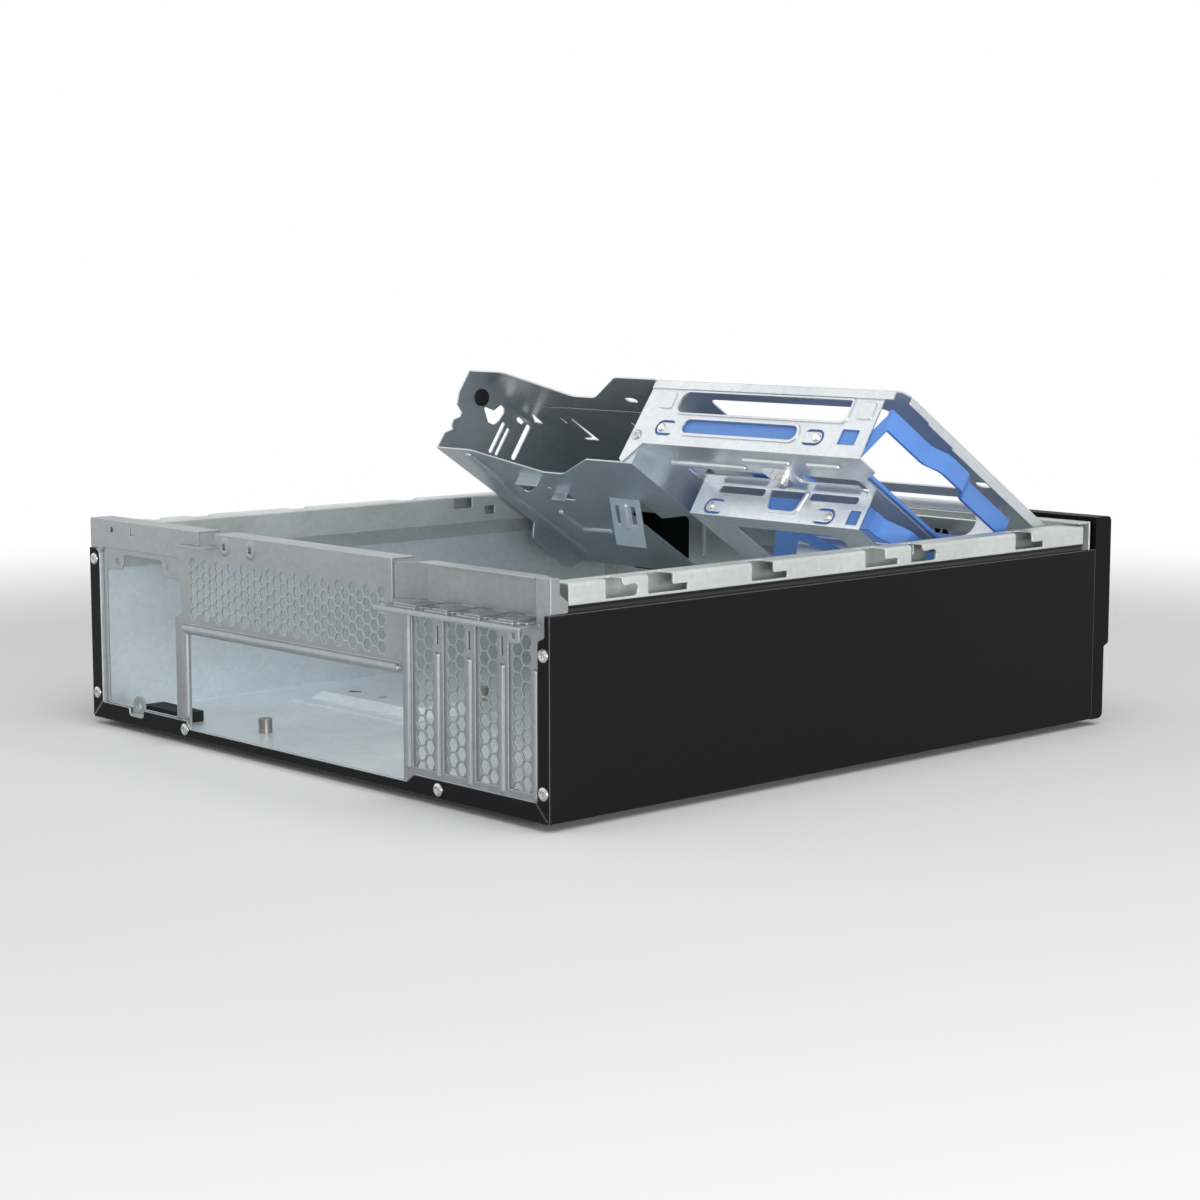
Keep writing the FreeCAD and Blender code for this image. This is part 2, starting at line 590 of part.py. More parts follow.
def rear_panel():
    """Galvanised rear wall: power supply recess, port opening, vent, slots and outside shelf."""
    step = SIDE_HEIGHT + STEP_PLAY
    inner = HALF - SHEET
    notch_left = IO_LEFT + TAB_NOTCH_FROM_PORTS
    notch_right = notch_left + TAB_NOTCH
    notch_base = CASE_HEIGHT - 6.0
    corner = BEND + CORNER_PLAY
    outer = loop("xz", PANEL_FACE, [
        (-inner, SHEET, corner), (inner, SHEET, corner), (inner, step), (HALF, step), (HALF, CASE_HEIGHT),
        (WINDOW_RIGHT, CASE_HEIGHT), (WINDOW_RIGHT, SHELF_HEIGHT, 0.6), (WINDOW_LEFT, SHELF_HEIGHT, 0.6),
        (WINDOW_LEFT, CASE_HEIGHT), (notch_right, CASE_HEIGHT), (notch_right, notch_base, 0.8),
        (notch_left, notch_base, 0.8), (notch_left, CASE_HEIGHT), (-HALF, CASE_HEIGHT),
        (-HALF, step), (-inner, step),
    ])
    recess = (PSU_LEFT - RECESS_RIM, PSU_RIGHT + 1.0, PSU_BOTTOM - RECESS_RIM, PSU_TOP + RECESS_TOP_RIM)
    holes = [rectangle("xz", PANEL_FACE, recess[0], recess[1], recess[2], recess[3], 3.0)]
    holes.append(rectangle("xz", PANEL_FACE, IO_LEFT, IO_RIGHT, IO_BOTTOM, IO_TOP, 0.8))
    slot_top = SHELF_HEIGHT - SLOT_TOP_STRIP
    for left in SLOT_LEFTS:
        holes.append(rectangle("xz", PANEL_FACE, left, left + SLOT_WIDTH, SLOT_BOTTOM, slot_top, 0.6))
    for left in SLOT_LEFTS[:-1]:
        rib = left + SLOT_WIDTH + RIB_BEAD_OFFSET
        slit_top = slot_top - RIB_SLIT_TOP
        holes.append(rectangle("xz", PANEL_FACE, rib - 0.7, rib + 0.7, slit_top - RIB_SLIT, slit_top))
    field_bottom = IO_TOP + 2 * BEAD + HEX_EDGE + 0.6
    field_top = CASE_HEIGHT - HEX_TOP_MARGIN
    for x, z in hex_field(IO_LEFT + HEX_EDGE, WINDOW_LEFT - HEX_EDGE, field_bottom, field_top, HEX_PITCH):
        holes.append(hexagon("xz", PANEL_FACE, x, z, HEX_SIZE))
    dimples = [(notch_right + 7.8, CASE_HEIGHT - 5.3), (notch_right + 28.0, CASE_HEIGHT - 5.3)]
    for x, z in dimples:
        holes.append(circle("xz", PANEL_FACE, x, z, 1.6))
    lance = PSU_LEFT + 25.0
    lance_points = [(lance - 2.5, CASE_HEIGHT - 6.4), (lance + 2.5, CASE_HEIGHT - 6.4),
                    (lance + 2.5, CASE_HEIGHT - 5.4), (lance - 1.5, CASE_HEIGHT - 5.4),
                    (lance - 1.5, CASE_HEIGHT - 2.8), (lance - 2.5, CASE_HEIGHT - 2.8)]
    holes.append(loop("xz", PANEL_FACE, lance_points))
    holes.append(circle("xz", PANEL_FACE, PSU_LEFT + 6.4, CASE_HEIGHT - 4.6, 1.4))
    for x, z in REAR_RIVETS:
        holes.append(circle("xz", PANEL_FACE, x, z, RIVET_SHANK))
    face = slab("xz", PANEL_FACE, SHEET, outer, holes)
    recess_outer = rectangle("xz", PANEL_BACK, recess[0] - SHEET, recess[1] + SHEET,
                             recess[2] - SHEET, recess[3] + SHEET, 3.0)
    recess_plate = slab("xz", PANEL_BACK, SHEET, recess_outer, [psu_opening(PANEL_BACK)])
    low = psu_screws()[2]
    ear = slab("xz", PANEL_BACK, SHEET, circle("xz", PANEL_BACK, low[0], low[1], PSU_LOW_EAR))
    recess_plate = fuse([recess_plate, ear])
    for x, z in psu_screws():
        bore = Part.makeCylinder(PSU_SCREW_RADIUS, 3 * SHEET, V(x, PANEL_BACK - SHEET, z), V(0, 1, 0))
        recess_plate = recess_plate.cut(bore)
    pieces = [face, recess_plate]
    flange_level = CASE_HEIGHT - SHEET
    folds = [(-HALF, notch_left, TOP_FLANGE), (notch_right, WINDOW_LEFT, TOP_FLANGE), (WINDOW_RIGHT, HALF, 4.7)]
    for left, right, reach in folds:
        pieces.append(block(left, right, PANEL_FACE, PANEL_FACE + reach, flange_level, CASE_HEIGHT))
    side = [(PANEL_FACE, step), (9.8, step, 0.6), (9.8, CASE_HEIGHT - 9.5, 1.2), (5.5, CASE_HEIGHT - 6.5, 1.2),
            (5.5, CASE_HEIGHT), (PANEL_FACE, CASE_HEIGHT)]
    right_return = slab("yz", HALF - SHEET, SHEET, loop("yz", HALF - SHEET, side))
    pieces.append(right_return)
    pieces.append(mirrored(right_return))
    shelf_left = WINDOW_LEFT + 0.6
    shelf_right = WINDOW_RIGHT + 2.0
    shelf = [(PANEL_BACK, SHELF_HEIGHT), (-SHELF_REACH, SHELF_HEIGHT), (-SHELF_REACH, SHELF_HEIGHT - SHELF_LIP)]
    pieces.append(folded("yz", shelf_left, shelf_right - shelf_left, shelf))
    latch = rectangle("xz", -SHELF_REACH, shelf_right - 6.5, shelf_right,
                      SHELF_HEIGHT - 6.5, SHELF_HEIGHT - 1.0, 0.8)
    latch_hole = circle("xz", -SHELF_REACH, shelf_right - 3.2, SHELF_HEIGHT - 3.6, 1.3)
    pieces.append(slab("xz", -SHELF_REACH, SHEET, latch, [latch_hole]))
    tab_level = notch_base - SHEET
    tab = rectangle("xy", tab_level, notch_left - 8.4, notch_right, -5.5, PANEL_BACK, 0.4)
    pieces.append(slab("xy", tab_level, SHEET, tab))
    panel = fuse(pieces)
    post = IO_LEFT - BEAD
    lintel = IO_TOP + BEAD
    low_end = V(post, PANEL_FACE, BOTTOM_FLANGE + BEAD + STEP_PLAY)
    elbow = V(post, PANEL_FACE, lintel)
    far_end = V(IO_RIGHT - 4.0, PANEL_FACE, lintel)
    behind = beyond(1, PANEL_FACE, -1)
    panel = pressed_bead(panel, [(low_end, elbow), (elbow, far_end)], BEAD, behind)
    rib_top = slot_top - RIB_BEAD_TOP
    rib_foot = SLOT_BOTTOM - RIB_BEAD_FOOT
    for left in SLOT_LEFTS:
        rib = left + SLOT_WIDTH + RIB_BEAD_OFFSET
        run = (V(rib, PANEL_FACE, rib_foot), V(rib, PANEL_FACE, rib_top))
        panel = pressed_bead(panel, [run], RIB_BEAD, behind)
    lead = SLOT_FIRST - SLOT_LEAD / 2 + 0.4
    run = (V(lead, PANEL_FACE, SLOT_BOTTOM), V(lead, PANEL_FACE, slot_top - 1.0))
    panel = pressed_bead(panel, [run], RIB_BEAD, behind)
    for x, z in dimples:
        ring = turned([(1.6, 0.0), (4.6, 0.0), (3.2, 1.0), (1.6, 1.0)], V(x, PANEL_FACE + 0.2, z), V(0, -1, 0))
        panel = fuse([panel, ring])
    return panel


def slot_cover(left):
    """A vented blank for one expansion slot, its top tab folded out onto the shelf."""
    middle = left + SLOT_WIDTH / 2
    half = COVER_WIDTH / 2
    top = SHELF_HEIGHT + SHEET
    foot = half - 3.0
    outer = loop("xz", PANEL_BACK, [
        (middle - foot, COVER_FOOT), (middle + foot, COVER_FOOT), (middle + foot, SLOT_BOTTOM - 2.0, 0.8),
        (middle + half, SLOT_BOTTOM - 1.0, 0.8), (middle + half, top), (middle - half, top),
        (middle - half, SLOT_BOTTOM - 1.0, 0.8), (middle - foot, SLOT_BOTTOM - 2.0, 0.8)])
    column = COVER_HEX_PITCH * math.sqrt(3) / 2
    rows = int((SHELF_HEIGHT - SLOT_TOP_STRIP - SLOT_BOTTOM) / COVER_HEX_PITCH)
    holes = []
    for i in range(2):
        for j in range(rows + 1 - i):
            x = middle + (i - 0.5) * column
            z = SLOT_BOTTOM + (j + i / 2) * COVER_HEX_PITCH
            holes.append(hexagon("xz", PANEL_BACK, x, z, COVER_HEX_SIZE))
    plate = slab("xz", PANEL_BACK, SHEET, outer, holes)
    tab = loop("xy", SHELF_HEIGHT, [
        (middle - half, PANEL_BACK + SHEET), (middle - half, -SHELF_REACH + 2.0, 1.0),
        (middle + half - 4.0, -SHELF_REACH + 2.0, 1.0), (middle + half - 4.0, -SHELF_REACH + 6.0, 1.5),
        (middle + half, -SHELF_REACH + 6.0, 1.0), (middle + half, PANEL_BACK + SHEET)])
    return fuse([plate, slab("xy", SHELF_HEIGHT, SHEET, tab)])


def slot_clamp():
    """The bracket that holds the slot covers down, with one finger for each slot."""
    face = PANEL_BACK + CLAMP_SETBACK
    low = SHELF_HEIGHT + SHEET
    high = CASE_HEIGHT - SHEET - 0.4
    ramp = WINDOW_LEFT + CLAMP_RAMP_START
    right = WINDOW_RIGHT + 1.0
    plate = folded("xy", low + SHEET, high - low - SHEET, [
        (WINDOW_LEFT - CLAMP_LAP, PANEL_BACK), (ramp, PANEL_BACK), (ramp + CLAMP_RAMP, face),
        (right - 1.5, face), (right, PANEL_BACK), (right + 4.0, PANEL_BACK)])
    pieces = [plate]
    for slot in SLOT_LEFTS:
        middle = slot + SLOT_WIDTH / 2
        half = FINGER_WIDTH / 2
        pieces.append(block(middle - half, middle + half, -SHELF_REACH + 3.0, face + SHEET, low, low + SHEET))
        pieces.append(block(middle - half, middle + half, face, face + SHEET, low, low + 3 * SHEET))
    roof_left = WINDOW_LEFT + 18.0
    roof_right = WINDOW_RIGHT - 1.0
    pieces.append(block(roof_left, roof_right, PANEL_FACE, face + SHEET, CASE_HEIGHT - SHEET, CASE_HEIGHT))
    pieces.append(block(roof_left, roof_right, face, face + SHEET, high - 2.0, CASE_HEIGHT))
    return fuse(pieces)


def side_rail(round_notches):
    """The right-hand top rail: a folded channel, lapped inside the shell, notched for the lid's hooks."""
    lap = HALF - 2 * SHEET
    line = [(lap, SIDE_HEIGHT - RAIL_LAP), (lap, RAIL_WEB_FOOT - RAIL_STEP), (RAIL_OUTER, RAIL_WEB_FOOT),
            (RAIL_OUTER, RAIL_HEIGHT), (RAIL_INNER, RAIL_HEIGHT), (RAIL_INNER, RAIL_HEIGHT - RAIL_INNER_DROP)]
    end = FRONT_FACE - RAIL_END_GAP + 4.4
    rail = folded("xz", RAIL_START, end - RAIL_START, line)
    reach = RAIL_OUTER - RAIL_NOTCH_DEPTH
    base = RAIL_WEB_FOOT + 0.8
    above = RAIL_HEIGHT + 1.0
    for start, width, foot in L_NOTCHES:
        shape = [(start, base, 0.8), (start + width + foot, base, 0.8), (start + width + foot, base + 2.8, 0.8),
                 (start + width, base + 2.8, 0.8), (start + width, above), (start, above)]
        rail = rail.cut(slab("yz", reach, RAIL_NOTCH_DEPTH + 1.0, loop("yz", reach, shape)))
    for start, width, hook in round_notches:
        shape = [(start, base, 0.8), (start + width + hook, base, 2.4), (start + width + hook, base + 5.2, 2.4),
                 (start + width, base + 4.2, 1.6), (start + width, above), (start, above)]
        rail = rail.cut(slab("yz", reach, RAIL_NOTCH_DEPTH + 1.0, loop("yz", reach, shape)))
    for start, width, drop, depth in RAIL_WINDOWS:
        window = rectangle("yz", RAIL_INNER - 1.0, start, start + width,
                           RAIL_HEIGHT - drop, RAIL_HEIGHT - depth, 0.6)
        rail = rail.cut(slab("yz", RAIL_INNER - 1.0, 2 * SHEET + 1.0, window))
    return rail


def front_panel():
    """Galvanised front wall: part-open optical mouth, vent, folded edges and the two hinge ears."""
    inner = HALF - SHEET
    corner = BEND + CORNER_PLAY
    outer = loop("xz", FRONT_FACE, [(-inner, SHEET, corner), (inner, SHEET, corner),
                                    (inner, FRONT_HEIGHT), (-inner, FRONT_HEIGHT)])
    left, right, low, high = OPTICAL_MOUTH
    holes = [rectangle("xz", FRONT_FACE, left, left + MOUTH_OPEN, low, high - MOUTH_HEADROOM, 3.0)]
    vent = OPTICAL_RIGHT + VENT_FROM_BAY
    for x, z in hex_field(vent, vent + VENT_WIDTH, HINGE_Z - VENT_FALL, HINGE_Z + VENT_RISE, HEX_PITCH):
        if x < PORT_X - BOARD_HALF - HEX_SIZE or z > PORT_Z + BOARD_RISE + HEX_SIZE:
            holes.append(hexagon("xz", FRONT_FACE, x, z, HEX_SIZE))
    wall = slab("xz", FRONT_FACE, SHEET, outer, holes)
    stiffener = left + MOUTH_OPEN + MOUTH_HEADROOM
    run = (V(stiffener, FRONT_FACE, low + MOUTH_HEADROOM), V(stiffener, FRONT_FACE, high - MOUTH_HEADROOM))
    pieces = [pressed_bead(wall, [run], CAGE_BEAD, beyond(1, FRONT_FACE, -1))]
    rear = FRONT_FACE - FRONT_FLANGE
    pieces.append(block(-inner, inner, rear, FRONT_BACK, FRONT_HEIGHT - SHEET, FRONT_HEIGHT))
    pieces.append(block(-inner + corner, inner - corner, rear, FRONT_BACK, SHEET, 2 * SHEET))
    flange_top = SIDE_HEIGHT - HEM - 2.0
    for side in (-1, 1):
        span = sorted((side * inner, side * (inner - SHEET)))
        pieces.append(block(span[0], span[1], rear, FRONT_BACK, SHEET + corner, flange_top))
        ear_start = CAGE_HALF + HINGE_SIDE_GAP
        level = ear_start if side > 0 else -ear_start - SHEET
        round_end = HINGE_EAR - 0.1
        shape = [(FRONT_BACK, HINGE_Z - HINGE_EAR), (FRONT_BACK, HINGE_Z + HINGE_EAR),
                 (HINGE_Y - HINGE_EAR, HINGE_Z + HINGE_EAR, round_end),
                 (HINGE_Y - HINGE_EAR, HINGE_Z - HINGE_EAR, round_end)]
        hole = circle("yz", level, HINGE_Y, HINGE_Z, HINGE_PIN_RADIUS + RIVET_HOLE_PLAY)
        pieces.append(slab("yz", level, SHEET, loop("yz", level, shape), [hole]))
    return fuse(pieces)


def hinge_pin():
    """The right-hand hinge rivet: head outside the ear, shank through both sheets, small head inside."""
    outside = CAGE_HALF + HINGE_SIDE_GAP + SHEET
    grip = 2 * SHEET + HINGE_SIDE_GAP + 0.3
    radius = HINGE_PIN_RADIUS
    profile = [(0.0, 1.0), (radius + 0.6, 1.0), (radius + 1.4, 0.0), (radius, 0.0), (radius, -grip),
               (radius + 1.0, -grip), (radius + 1.0, -grip - 0.8), (0.0, -grip - 1.0)]
    return turned(profile, V(outside, HINGE_Y, HINGE_Z), V(1, 0, 0))


def front_bezel():
    """Moulded plastic front: a stepped shell, open at the back, with its openings and posts."""
    profile = [(SHELL_DEPTH, 0.0), (BEZEL_FRONT - BEZEL_CHIN_STEP, 0.0, 3.0),
               (BEZEL_FRONT - BEZEL_CHIN_STEP, BEZEL_CHIN, 0.8), (BEZEL_FRONT, BEZEL_CHIN + 1.5, 0.8),
               (BEZEL_FRONT, BEZEL_HEIGHT, 2.5), (SHELL_DEPTH, BEZEL_HEIGHT)]
    body = slab("yz", -HALF, CASE_WIDTH, loop("yz", -HALF, profile))
    wall = BEZEL_WALL
    inside = [(SHELL_DEPTH - 1.0, wall), (BEZEL_FRONT - BEZEL_CHIN_STEP - wall, wall, 1.0),
              (BEZEL_FRONT - BEZEL_CHIN_STEP - wall, BEZEL_CHIN + 1.0), (BEZEL_FRONT - wall, BEZEL_CHIN + 2.5),
              (BEZEL_FRONT - wall, BEZEL_HEIGHT - wall, 1.0), (SHELL_DEPTH - 1.0, BEZEL_HEIGHT - wall)]
    bezel = body.cut(slab("yz", -HALF + wall, CASE_WIDTH - 2 * wall, loop("yz", -HALF + wall, inside)))
    left, right, low, high = OPTICAL_MOUTH
    deep = BEZEL_FRONT - 3 * wall
    tools = [slab("xz", deep, 4 * wall, rectangle("xz", deep, left, right, low, high, 1.5))]
    button_hole = BUTTON_RADIUS + BUTTON_PLAY
    tools.append(Part.makeCylinder(button_hole, 4 * wall, V(BUTTON_X, deep, BUTTON_Z), V(0, 1, 0)))
    for x in PORT_COLUMNS:
        port = rectangle("xz", deep, x - 6.9, x + 6.9, PORT_Z + 3.0, PORT_Z + 9.0, 0.6)
        tools.append(slab("xz", deep, 4 * wall, port))
        tools.append(Part.makeCylinder(3.4, 4 * wall, V(x, deep, PORT_Z - JACK_DROP), V(0, 1, 0)))
    behind = deep - BEZEL_CHIN_STEP
    for i in range(LOUVRE_COUNT):
        z = LOUVRE_LOW + i * LOUVRE_PITCH
        louvre = rectangle("xz", behind, -LOUVRE_HALF, LOUVRE_HALF, z, z + LOUVRE_SLOT, 1.0)
        tools.append(slab("xz", behind, 6 * wall, louvre))
    bezel = bezel.cut(tools[0].multiFuse(tools[1:]))
    posts = []
    for x in (-HALF + POST_INSET, HALF - POST_INSET):
        for z in (POST_LOW, BEZEL_HEIGHT - POST_HIGH_DROP):
            front = BEZEL_FRONT - wall if z > BEZEL_CHIN else BEZEL_FRONT - BEZEL_CHIN_STEP - wall
            posts.append(Part.makeCylinder(3.0, front + 0.5 - FRONT_BACK, V(x, FRONT_BACK, z), V(0, 1, 0)))
    return fuse([bezel] + posts)


def bay_blank():
    """The snap-in blank of the optical bay: a shallow tray whose rim sits behind the bezel."""
    left, right, low, high = OPTICAL_MOUTH
    play = BLANK_PLAY
    back = BEZEL_FRONT - BEZEL_WALL - 0.2
    face = slab("xz", back, BEZEL_WALL - 0.1,
                rectangle("xz", back, left + play, right - play, low + play, high - play, 1.3))
    rim_level = BEZEL_FRONT - BEZEL_WALL - 2.0
    rim = slab("xz", rim_level, 2.0,
               rectangle("xz", rim_level, left - 1.5, right + 1.5, low - 1.5, high + 1.5, 1.5),
               [rectangle("xz", rim_level, left + 3.0, right - 3.0, low + 3.0, high - 3.0, 1.0)])
    return fuse([face, rim])


def power_button():
    """Round push button: cap, retaining flange behind the bezel and a stem to the switch."""
    behind = BEZEL_FRONT - BEZEL_WALL - SWITCH_GAP
    profile = [(0.0, BEZEL_WALL + 0.2), (BUTTON_RADIUS - 0.6, BEZEL_WALL + 0.2),
               (BUTTON_RADIUS, BEZEL_WALL - 0.4), (BUTTON_RADIUS, 0.0), (BUTTON_RADIUS + 1.4, 0.0),
               (BUTTON_RADIUS + 1.4, -1.4), (2.2, -1.4), (2.2, -BUTTON_STEM), (0.0, -BUTTON_STEM)]
    return turned(profile, V(BUTTON_X, behind, BUTTON_Z), V(0, 1, 0))


def power_switch():
    """The small switch behind the button, on the front panel."""
    body = block(BUTTON_X - 6.0, BUTTON_X + 6.0, FRONT_BACK, FRONT_BACK + 3.0, BUTTON_Z - 6.0, BUTTON_Z + 6.0)
    stem_end = BEZEL_FRONT - BEZEL_WALL - SWITCH_GAP - BUTTON_STEM
    reach = stem_end - BUTTON_TRAVEL - SWITCH_GAP - FRONT_BACK
    plunger = Part.makeCylinder(1.8, reach, V(BUTTON_X, FRONT_BACK, BUTTON_Z), V(0, 1, 0))
    lengthwise = [e for e in body.Edges if abs(e.tangentAt(e.FirstParameter).y) > 0.9]
    return fuse([body.makeFillet(0.6, lengthwise), plunger])


def port_board():
    """Circuit board with two audio jacks, behind the bezel."""
    outline = rectangle("xz", FRONT_BACK, PORT_X - BOARD_HALF, PORT_X + BOARD_HALF,
                        PORT_Z - BOARD_FALL, PORT_Z + BOARD_RISE, 1.0)
    pieces = [slab("xz", FRONT_BACK, BOARD_THICKNESS, outline)]
    jack = PORT_Z - JACK_DROP
    root = FRONT_BACK + BOARD_THICKNESS / 2
    bores = []
    for x in PORT_COLUMNS:
        pieces.append(block(x - 5.0, x + 5.0, root, FRONT_BACK + 9.0, jack - 5.0, jack + 5.0))
        pieces.append(Part.makeCylinder(3.1, BEZEL_FRONT - PORT_SINK - root, V(x, root, jack), V(0, 1, 0)))
        bores.append(Part.makeCylinder(1.8, BEZEL_DEPTH, V(x, FRONT_BACK + 6.0, jack), V(0, 1, 0)))
    return fuse(pieces).cut(Part.makeCompound(bores))


def data_ports():
    """Two metal port shells with their contact tongues, standing on the board."""
    shells = []
    base = FRONT_BACK + BOARD_THICKNESS
    front = BEZEL_FRONT - PORT_SINK
    for x in PORT_COLUMNS:
        low = PORT_Z + 3.4
        high = PORT_Z + 8.6
        shell = block(x - 6.5, x + 6.5, base, front, low, high)
        shell = shell.cut(block(x - 6.1, x + 6.1, base + 2.0, front + 1.0, low + 0.4, high - 0.4))
        tongue = block(x - 5.5, x + 5.5, base + 1.0, front - 1.0, high - 2.4, high - 0.9)
        shells.append(fuse([shell, tongue]))
    return Part.makeCompound(shells)


def standoff_places():
    """Mounting points of the main board, from its rear right corner hole."""
    places = []
    for i, column in enumerate(HOLE_COLUMNS):
        for j, row in enumerate(HOLE_ROWS):
            shift = SHORT_ROW if i == 2 and j == 0 else 0.0
            places.append((BOARD_X + column, BOARD_Y + row + shift))
    return places


def board_standoffs():
    """Pressed-in threaded standoffs for the main board."""
    posts = []
    profile = [(STANDOFF_BORE, 0.0), (STANDOFF_RADIUS, 0.0), (STANDOFF_RADIUS, STANDOFF_HEIGHT),
               (STANDOFF_BORE, STANDOFF_HEIGHT)]
    for x, y in standoff_places():
        posts.append(turned(profile, V(x, y, SHEET), V(0, 0, 1)))
    return Part.makeCompound(posts)


def floor_plate():
    """Pressed plate welded to the floor: flat rim, sloping sides, raised top with a few holes."""
    left = PSU_LEFT + FLOOR_PLATE_INSET
    right = left + FLOOR_PLATE_WIDTH
    rear = FLOOR_PLATE_REAR
    front = rear + FLOOR_PLATE_DEPTH
    rise = FLOOR_PLATE_RISE
    rim = FLOOR_PLATE_RIM
    slope = FLOOR_PLATE_SLOPE

    def layer(inset, level):
        return rectangle("xy", level, left + inset, right - inset, rear + inset, front - inset, 4.0)

    base = slab("xy", SHEET, SHEET, layer(0.0, SHEET), [layer(rim + SHEET, SHEET)])
    dome = Part.makeLoft([layer(rim, SHEET), layer(rim + slope, SHEET + rise)], True)
    under = Part.makeLoft([layer(rim + SHEET, SHEET), layer(rim + SHEET + slope * 0.8, rise)], True)
    plate = fuse([base, dome]).cut(under)
    cx = left + 27.0
    cy = rear + 23.0
    diamond = loop("xy", SHEET, [(cx - 5.0, cy), (cx, cy - 3.5), (cx + 5.0, cy), (cx, cy + 3.5)])
    plate = plate.cut(slab("xy", SHEET, 2 * rise, diamond))
    for dx, dy in ((50.0, 23.0), (73.0, 35.0)):
        plate = plate.cut(Part.makeCylinder(2.4, 2 * rise, V(left + dx, rear + dy, SHEET), V(0, 0, 1)))
    return plate


def support_pad():
    """Soft pad under the rear of the power supply."""
    left = PSU_LEFT + PAD_INSET
    pad = block(left, left + PAD_LENGTH, PAD_REAR, PAD_REAR + PAD_WIDTH, SHEET, SHEET + PAD_HEIGHT)
    return pad.makeFillet(1.0, [e for e in pad.Edges if abs(e.tangentAt(e.FirstParameter).z) > 0.9])


def rubber_feet():
    """Four feet under the floor."""
    feet = []
    profile = [(0.0, 0.0), (FOOT_RADIUS, 0.0), (FOOT_RADIUS - 1.2, -FOOT_HEIGHT), (2.5, -FOOT_HEIGHT),
               (2.0, -FOOT_HEIGHT + 1.2), (0.0, -FOOT_HEIGHT + 1.2)]
    for x in (-HALF + FOOT_INSET, HALF - FOOT_INSET):
        for y in (FOOT_INSET, SHELL_DEPTH - FOOT_INSET):
            feet.append(turned(profile, V(x, y, 0), V(0, 0, 1)))
    return Part.makeCompound(feet)


def rear_rivets():
    return Part.makeCompound([rivet(V(x, 0, z), V(0, -1, 0), 2 * SHEET) for x, z in REAR_RIVETS])


def raised(shape):
    """Swing a cage piece from its closed place to the open rest position."""
    opened = shape.copy()
    opened.rotate(V(0, HINGE_Y, HINGE_Z), V(1, 0, 0), -OPEN_ANGLE)
    return opened


def scooped_edge(left, right, rear, shares, depth):
    """The scooped rear edge of the optical bay, from left to right."""
    turns = [left + share * (right - left) for share in shares]
    return [(left, rear), (turns[0], rear, 12.0), (turns[1], rear + depth, 12.0),
            (turns[2], rear + depth, 12.0), (turns[3], rear, 6.0)]


def cage_top():
    """Top sheet of the cage: roof of the optical bay and open frame over the disk bay."""
    level = CAGE_TOP - SHEET
    left = -CAGE_HALF
    rear = OPTICAL_REAR
    lip_face = DISK_REAR - SHEET
    lip_left = OPTICAL_RIGHT - FLANGE_LAP
    points = scooped_edge(left, OPTICAL_RIGHT, rear, ROOF_SCOOP, ROOF_SCOOP_DEPTH)
    points += [(lip_left, rear), (lip_left, lip_face), (CAGE_HALF, lip_face, FRAME_CORNER),
               (CAGE_HALF, CAGE_FRONT, 2.0), (left, CAGE_FRONT, 2.0)]
    holes = [
        rectangle("xy", level, OPTICAL_RIGHT + 16.0, CAGE_HALF - 22.0,
                  DISK_REAR + 15.0, DISK_FRONT - 14.0, 5.0),
        rectangle("xy", level, OPTICAL_RIGHT + 50.0, CAGE_HALF - 26.0,
                  DISK_FRONT - 5.0, CAGE_FRONT - 12.0, 4.0),
        rectangle("xy", level, CAGE_HALF - 16.0, CAGE_HALF - 8.0,
                  DISK_FRONT - 22.0, DISK_FRONT - 17.0, 2.4),
        loop("xy", level, [(left + x, rear + y) for x, y in ROOF_LANCE], 0.3),
        loop("xy", level, [(left + x, rear + y) for x, y in ROOF_CORNER], 0.3),
    ]
    for start, end, back, fore in ROOF_SLITS:
        half = min(end - start, fore - back) / 2 - 0.05
        holes.append(rectangle("xy", level, left + start, left + end, rear + back, rear + fore, half))
    sheet = slab("xy", level, SHEET, loop("xy", level, points), holes)
    run = bead_runs([(28.0, 33.8), (OPTICAL_WIDTH - 45.5, 33.8)], left, rear, CAGE_TOP)
    sheet = pressed_bead(sheet, run, CAGE_BEAD, beyond(2, CAGE_TOP, 1))
    lip_right = CAGE_HALF - FRAME_CORNER - 1.0
    lip = slab("xz", lip_face, SHEET, rectangle("xz", lip_face, lip_left, lip_right, CAGE_TOP - LIP, CAGE_TOP))
    edge = CAGE_HALF - SHEET
    low = CAGE_TOP - FRAME_FLANGE
    ear = HINGE_Z - HINGE_EAR
    start = lip_face + FRAME_CORNER + 1.0
    side = [(start, CAGE_TOP), (start, low + 1.8, 0.8), (start + 16.0, low + 1.8), (start + 17.0, low + 0.9),
            (start + 37.0, low + 0.9), (start + 38.0, low), (HINGE_Y - HINGE_EAR - 6.0, low, 3.0),
            (HINGE_Y - HINGE_EAR, ear, 3.0), (CAGE_FRONT, ear, 4.0), (CAGE_FRONT, CAGE_TOP)]
    hole = circle("yz", edge, HINGE_Y, HINGE_Z, HINGE_PIN_RADIUS + HINGE_PLAY)
    flange = slab("yz", edge, SHEET, loop("yz", edge, side), [hole])
    return fuse([sheet, lip, flange])


